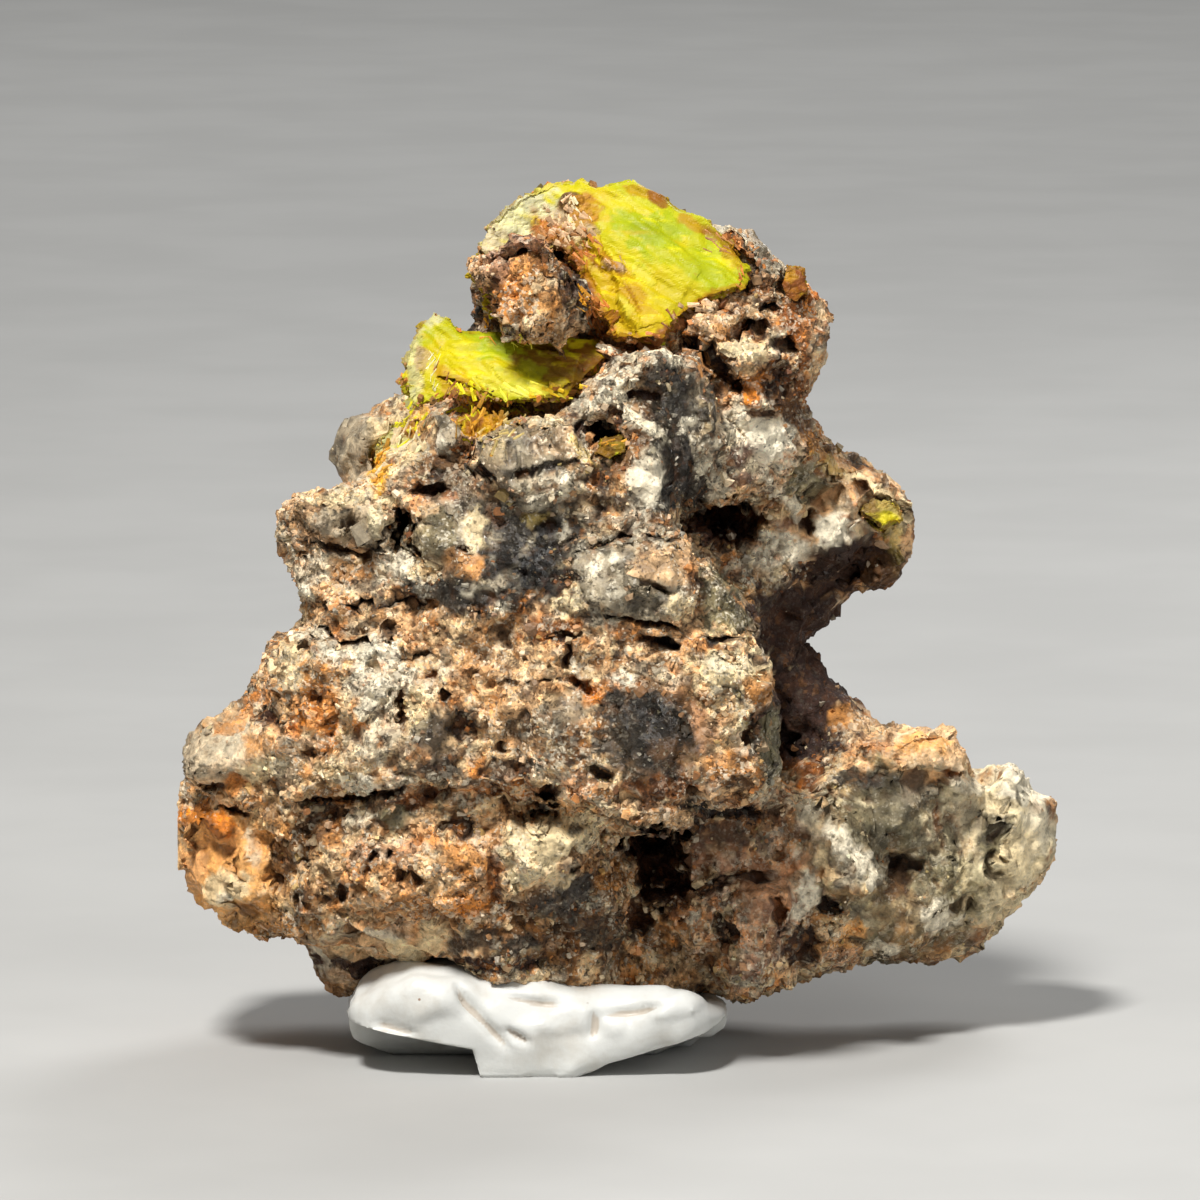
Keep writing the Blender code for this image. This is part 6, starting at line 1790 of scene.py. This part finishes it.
# Bunches of fibres and splinters: across, up, spread across and up, direction in degrees, length and
# thickness in millimetres, count, colour.
BUNCHES = [
    (-1.7, 26.8, 0.9, 0.2, -32, 1.1, 0.13, 14, PALE_LEMON),
    (-0.1, 26.8, 0.8, 0.2, -14, 1.0, 0.13, 12, GOLD),
    (-3.3, 26.9, 0.6, 0.2, -48, 0.9, 0.12, 10, YELLOW),
    (1.5, 29.6, 0.35, 0.55, -52, 1.1, 0.08, 34, ORANGE),
    (1.0, 30.3, 0.25, 0.4, -55, 0.8, 0.07, 16, AMBER),
    (0.9, 32.2, 0.5, 0.5, -48, 0.8, 0.09, 30, ORANGE),
    (0.2, 33.1, 0.8, 0.7, -30, 0.7, 0.14, 50, TAN),
    (0.0, 32.7, 0.7, 0.5, -38, 0.7, 0.10, 30, OCHRE),
    (0.6, 33.8, 0.5, 0.6, -60, 0.6, 0.10, 26, CREAM),
    (2.2, 31.8, 0.4, 0.3, -38, 0.5, 0.05, 10, TAN),
    (3.6, 28.8, 0.9, 0.15, -10, 0.6, 0.07, 22, ORANGE),
    (4.7, 29.3, 0.35, 0.4, -62, 0.9, 0.07, 22, RUST),
    (5.6, 28.3, 0.6, 0.5, -45, 1.2, 0.09, 24, OCHRE),
    (5.6, 29.6, 0.7, 0.5, -30, 0.7, 0.13, 36, TAN),
    (7.2, 28.3, 0.6, 0.2, -10, 0.7, 0.14, 16, CREAM),
    (6.4, 32.7, 0.7, 0.4, -38, 0.8, 0.06, 22, OCHRE),
    (7.2, 31.5, 0.25, 0.6, -60, 0.6, 0.06, 14, ORANGE),
    (-4.2, 26.7, 0.25, 0.5, 68, 0.9, 0.06, 26, RUST),
    (-3.5, 26.4, 0.4, 0.4, -50, 0.8, 0.06, 24, OCHRE),
    (-2.9, 25.6, 0.9, 0.8, 78, 1.1, 0.12, 70, GOLDEN),
    (-2.2, 25.3, 0.6, 0.6, 60, 0.9, 0.10, 30, STRAW),
    (-3.5, 26.1, 0.4, 0.5, 100, 0.9, 0.10, 30, YELLOW),
    (-6.4, 24.8, 0.6, 0.8, 62, 1.1, 0.13, 50, CREAM),
    (-7.0, 23.9, 0.3, 0.6, 70, 0.9, 0.10, 26, GOLDEN),
    (-6.0, 25.4, 0.5, 0.5, 55, 0.9, 0.10, 24, YELLOW),
    (-2.0, 26.0, 0.5, 0.25, -35, 0.8, 0.06, 16, PALE_LEMON),
    (-0.6, 26.4, 0.8, 0.25, -14, 1.0, 0.06, 14, PALE_LEMON),
    (-4.9, 27.6, 0.2, 0.8, 80, 1.0, 0.05, 16, CRUST),
    (-1.6, 28.6, 0.4, 0.2, -60, 0.6, 0.05, 10, PALE_LEMON),
    (-3.7, 30.6, 0.15, 0.6, -60, 1.0, 0.05, 12, GOLD),
    (-2.8, 29.2, 0.2, 0.4, -60, 0.8, 0.06, 14, AMBER),
    (2.0, 24.5, 0.3, 0.15, 15, 0.6, 0.06, 8, AMBER),
    (5.9, 10.3, 1.6, 0.12, -70, 0.35, 0.05, 34, TAN),
    (8.0, 15.4, 0.3, 0.4, 20, 0.35, 0.05, 14, CREAM),
]


def splinter_template(rng):
    """A thin pointed blade along X, as vertices and triangles."""
    bm = bmesh.new()
    bmesh.ops.create_cone(
        bm, segments=5, radius1=0.5, radius2=rng.uniform(0.1, 0.4), depth=1.0, cap_ends=True,
        matrix=Vector((1, 0, 0)).to_track_quat("Z", "Y").to_matrix().to_4x4(),
    )
    for vert in bm.verts:
        vert.co.y *= rng.uniform(0.3, 0.8)
        vert.co.z *= rng.uniform(1.4, 3.0)
    return finished_shape(bm)


def build_splinters():
    """Fibres laid on whatever shows at their place, all pointing roughly one way in each bunch."""
    rng = np.random.default_rng(77)
    trees = [surface_tree(obj) for obj in [*rock_pieces, *books.values()]]
    sight = Vector((0, 1, -SIGHT_SLOPE)).normalized()
    before = -15.0  # where the line of sight starts, in millimetres away
    templates = [splinter_template(rng) for _ in range(SPLINTER_SHAPES)]
    verts, faces, shades, start = [], [], [], 0
    for across, up, wide, high, direction, length, thick, count, colour in BUNCHES:
        for _ in range(int(count * SPLINTER_SHARE)):
            x = across + wide * rng.normal() * SPLINTER_SPREAD
            z = up + high * rng.normal() * SPLINTER_SPREAD
            origin = Vector((x + ACROSS_SHIFT, before + AWAY_SHIFT, z - before * SIGHT_SLOPE)) * MM
            hits = [tree.ray_cast(origin, sight) for tree in trees]
            hits = [hit for hit in hits if hit[0] is not None]
            if not hits:
                continue
            point, normal = min(hits, key=lambda hit: hit[3])[:2]
            turn = math.radians(direction + rng.normal() * SPLINTER_SCATTER)
            run = Vector((math.cos(turn), rng.normal() * 0.15, math.sin(turn)))
            run = (run - normal * run.dot(normal)).normalized()
            lie = np.array(run.to_track_quat("X", "Z").to_matrix())
            shape, triangles = templates[rng.integers(len(templates))]
            scale = np.array([length * rng.uniform(0.35, 0.8), thick * rng.uniform(0.7, 1.6), thick]) * MM
            verts.append((shape * scale) @ lie.T + np.array(point - normal * thick * 0.1 * MM))
            faces.append(triangles + start)
            shades.append(np.tile(colour * rng.uniform(0.65, 1.25), (len(shape), 1)))
            start += len(shape)
    obj = joined_object("splinters", verts, faces, shades)
    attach(obj, "root")
    return obj


paint(build_splinters(), grain_material("splinters", 0.5, 0.15))


# ---------------------------------------------------------------------------------------------- putty

Fold = namedtuple("Fold", "across up wide high turn lift")

# Folds and dents in the putty.
FOLDS = [Fold(*row) for row in (
    (-5.4, 2.4, 2.0, 0.9, 8, 0.35),
    (-2.9, 1.4, 1.6, 0.22, -48, -0.45),
    (-1.7, 0.9, 0.7, 0.16, -35, -0.5),
    (-3.9, 2.5, 0.5, 0.14, -60, -0.3),
    (0.2, 1.6, 1.2, 0.8, 10, 0.25),
    (-1.0, 2.3, 1.4, 0.16, -12, -0.3),
    (1.3, 1.4, 0.18, 0.6, 0, -0.4),
    (2.1, 1.2, 0.5, 0.45, 0, 0.2),
    (3.0, 1.9, 1.4, 0.18, 12, -0.35),
    (4.8, 2.2, 1.4, 0.5, 18, 0.2),
    (-6.6, 1.2, 1.0, 0.2, -15, -0.25),
)]


def build_putty():
    """Soft white putty with thumbed facets, folds and a flat foot."""
    putty = remeshed_copy("putty_pad", nodes["mounting_putty"], PUTTY_VOXEL)
    mesh = putty.data
    pairs = edge_pairs(mesh)
    co = positions(mesh)
    grounded = co[:, 2] < 0.06 * MM
    co = np.where(grounded[:, None], co, relaxed(co, pairs, 16))
    normals = moved(mesh, co)
    mm = co / MM
    across, up, away = shown(co)
    front = smoothstep(-0.1, 0.4, -normals[:, 1])
    wander = [0.6 * fractal(mm / 1.8, seed, 2) for seed in WANDER_SEEDS]
    lift = 0.16 * fractal(mm / 3.0, 295, 2)
    for fold in FOLDS:
        lift += fold.lift * (1 - smoothstep(0.1, 1.3, spot_reach(fold, across, up, wander))) * front
    creases = np.abs(fractal(mm / [5.0, 5.0, 2.0], 291, 2))
    lift -= 0.14 * (1 - smoothstep(0.0, 0.10, creases)) * (1 - front)
    lift *= smoothstep(0.05, 0.9, mm[:, 2])
    co = pushed(co, normals, lift)
    co = np.where(grounded[:, None], co, relaxed(co, pairs, 2))
    co[:, :2] = kept_in_box(co)[:, :2]
    # Both ends stand clear of the ground, by this many millimetres.
    left = smoothstep(3.1, 3.5, -across) * (1.15 + 0.18 * np.maximum(-across - 3.3, 0))
    right = smoothstep(0.6, 2.0, across) * (0.25 + 0.30 * np.maximum(across - 1.0, 0))
    overhang = np.maximum(left, right) * smoothstep(0.5, 2.0, -away)
    co[:, 2] = np.maximum(co[:, 2], overhang * MM)
    normals = moved(mesh, co)
    co = positions(mesh)
    store_value(mesh, "hollow", np.clip(sunk(co, relaxed(co, pairs, 10), normals), -1, 1))
    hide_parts("mounting_putty")
    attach(putty, "root")
    return putty


def putty_material():
    """White with greyer clouds, browner in its hollows and a few brown crumbs."""
    n = Nodes("white_putty")
    hollow = n.attribute("hollow").outputs["Fac"]
    body, dusty = srgb(206, 207, 203), srgb(182, 177, 166)
    colour = n.mix(n.ramp(n.noise(500, 5, 0.6), 0.45, 0.72, 0.0, 0.6), body, dusty)
    colour = n.mix(n.ramp(hollow, 0.02, 0.10, 0.0, 0.6), colour, srgb(168, 150, 128))
    crumbs = n.ramp(n.voronoi(1300), 0.10, 0.05)
    patchy = n.ramp(n.noise(260, 2), 0.56, 0.62, 0.0, 0.8)
    colour = n.mix(n.maths("MULTIPLY", crumbs, patchy), colour, BROWN)
    n.link(colour, n.shader.inputs["Base Color"])
    n.link(n.ramp(n.noise(900, 4), 0.35, 0.65, 0.34, 0.55), n.shader.inputs["Roughness"])
    soft = n.bump(n.noise(420, 4, 0.5), 0.0002, 0.5)
    n.link(n.bump(n.noise(3600, 4, 0.6), 0.00004, 0.4, below=soft), n.shader.inputs["Normal"])
    n.let_light_in(0.1, (1.0, 0.9, 0.8), 0.0005)
    return n.material


paint(build_putty(), putty_material(), smooth=True)


# ---------------------------------------------------------------------------------------------- stage


FLOOR_SIZE = 1.2
SPECIMEN = (0.0, 0.0, 0.018)
PLAIN_LIGHT = (1.0, 1.0, 1.0)
# Place, size, power, target and colour, in metres and watts. The last is for the floor behind the specimen.
LIGHTS = {
    "key": ((-0.065, -0.17, 0.27), 0.05, 1.5, SPECIMEN, (1.0, 0.98, 0.95)),
    "fill": ((0.18, -0.18, 0.13), 0.14, 0.17, SPECIMEN, PLAIN_LIGHT),
    "rim": ((0.10, 0.18, 0.20), 0.10, 0.35, SPECIMEN, PLAIN_LIGHT),
    "floor_light": ((0.0, 0.42, 0.32), 0.30, 0.9, (0.0, 0.6, 0.0), PLAIN_LIGHT),
}
WORLD_COLOUR, WORLD_STRENGTH = (1.0, 0.99, 0.97, 1.0), 0.12
AIM_ACROSS, AIM_UP = 1.6, 18.38  # where the camera looks, in millimetres
CAMERA_DISTANCE = 0.4
VIEW_WIDTH = 0.048  # how much the camera sees at the specimen
SENSOR_WIDTH = 36  # millimetres


def add_floor():
    bpy.ops.mesh.primitive_plane_add(size=FLOOR_SIZE, location=(0, 0, 0))
    floor = bpy.context.object
    floor.name = "floor"
    n = Nodes("floor_paper")
    pale = n.mix(n.ramp(n.noise(60, 3), 0.3, 0.7), srgb(168, 168, 166), srgb(173, 173, 171))
    n.link(pale, n.shader.inputs["Base Color"])
    n.shader.inputs["Roughness"].default_value = 0.85
    floor.data.materials.append(n.material)


def add_light(name, place, size, power, target, colour):
    data = bpy.data.lights.new(name, "AREA")
    data.size, data.energy, data.color = size, power, colour
    lamp = new_object(name, data)
    lamp.location = place
    lamp.rotation_euler = (Vector(target) - Vector(place)).to_track_quat("-Z", "Y").to_euler()


def add_world():
    world = bpy.data.worlds.new("studio")
    bpy.context.scene.world = world
    world.use_nodes = True
    backdrop = world.node_tree.nodes["Background"]
    backdrop.inputs["Color"].default_value = WORLD_COLOUR
    backdrop.inputs["Strength"].default_value = WORLD_STRENGTH


def add_camera():
    """Looks at the specimen from the front, a little above the horizon, as the photo does."""
    target = Vector(((AIM_ACROSS + ACROSS_SHIFT) * MM, AWAY_SHIFT * MM, AIM_UP * MM))
    back = Vector((0.0, -math.cos(SIGHT_ELEVATION), math.sin(SIGHT_ELEVATION)))
    data = bpy.data.cameras.new("camera")
    data.sensor_width = SENSOR_WIDTH
    data.lens = SENSOR_WIDTH * CAMERA_DISTANCE / VIEW_WIDTH
    data.clip_start = 0.01
    camera = new_object("camera", data)
    camera.location = target + back * CAMERA_DISTANCE
    camera.rotation_euler = (-back).to_track_quat("-Z", "Y").to_euler()
    bpy.context.scene.camera = camera


add_floor()
for name, settings in LIGHTS.items():
    add_light(name, *settings)
add_world()
add_camera()
bpy.context.scene.view_settings.view_transform = "Standard"
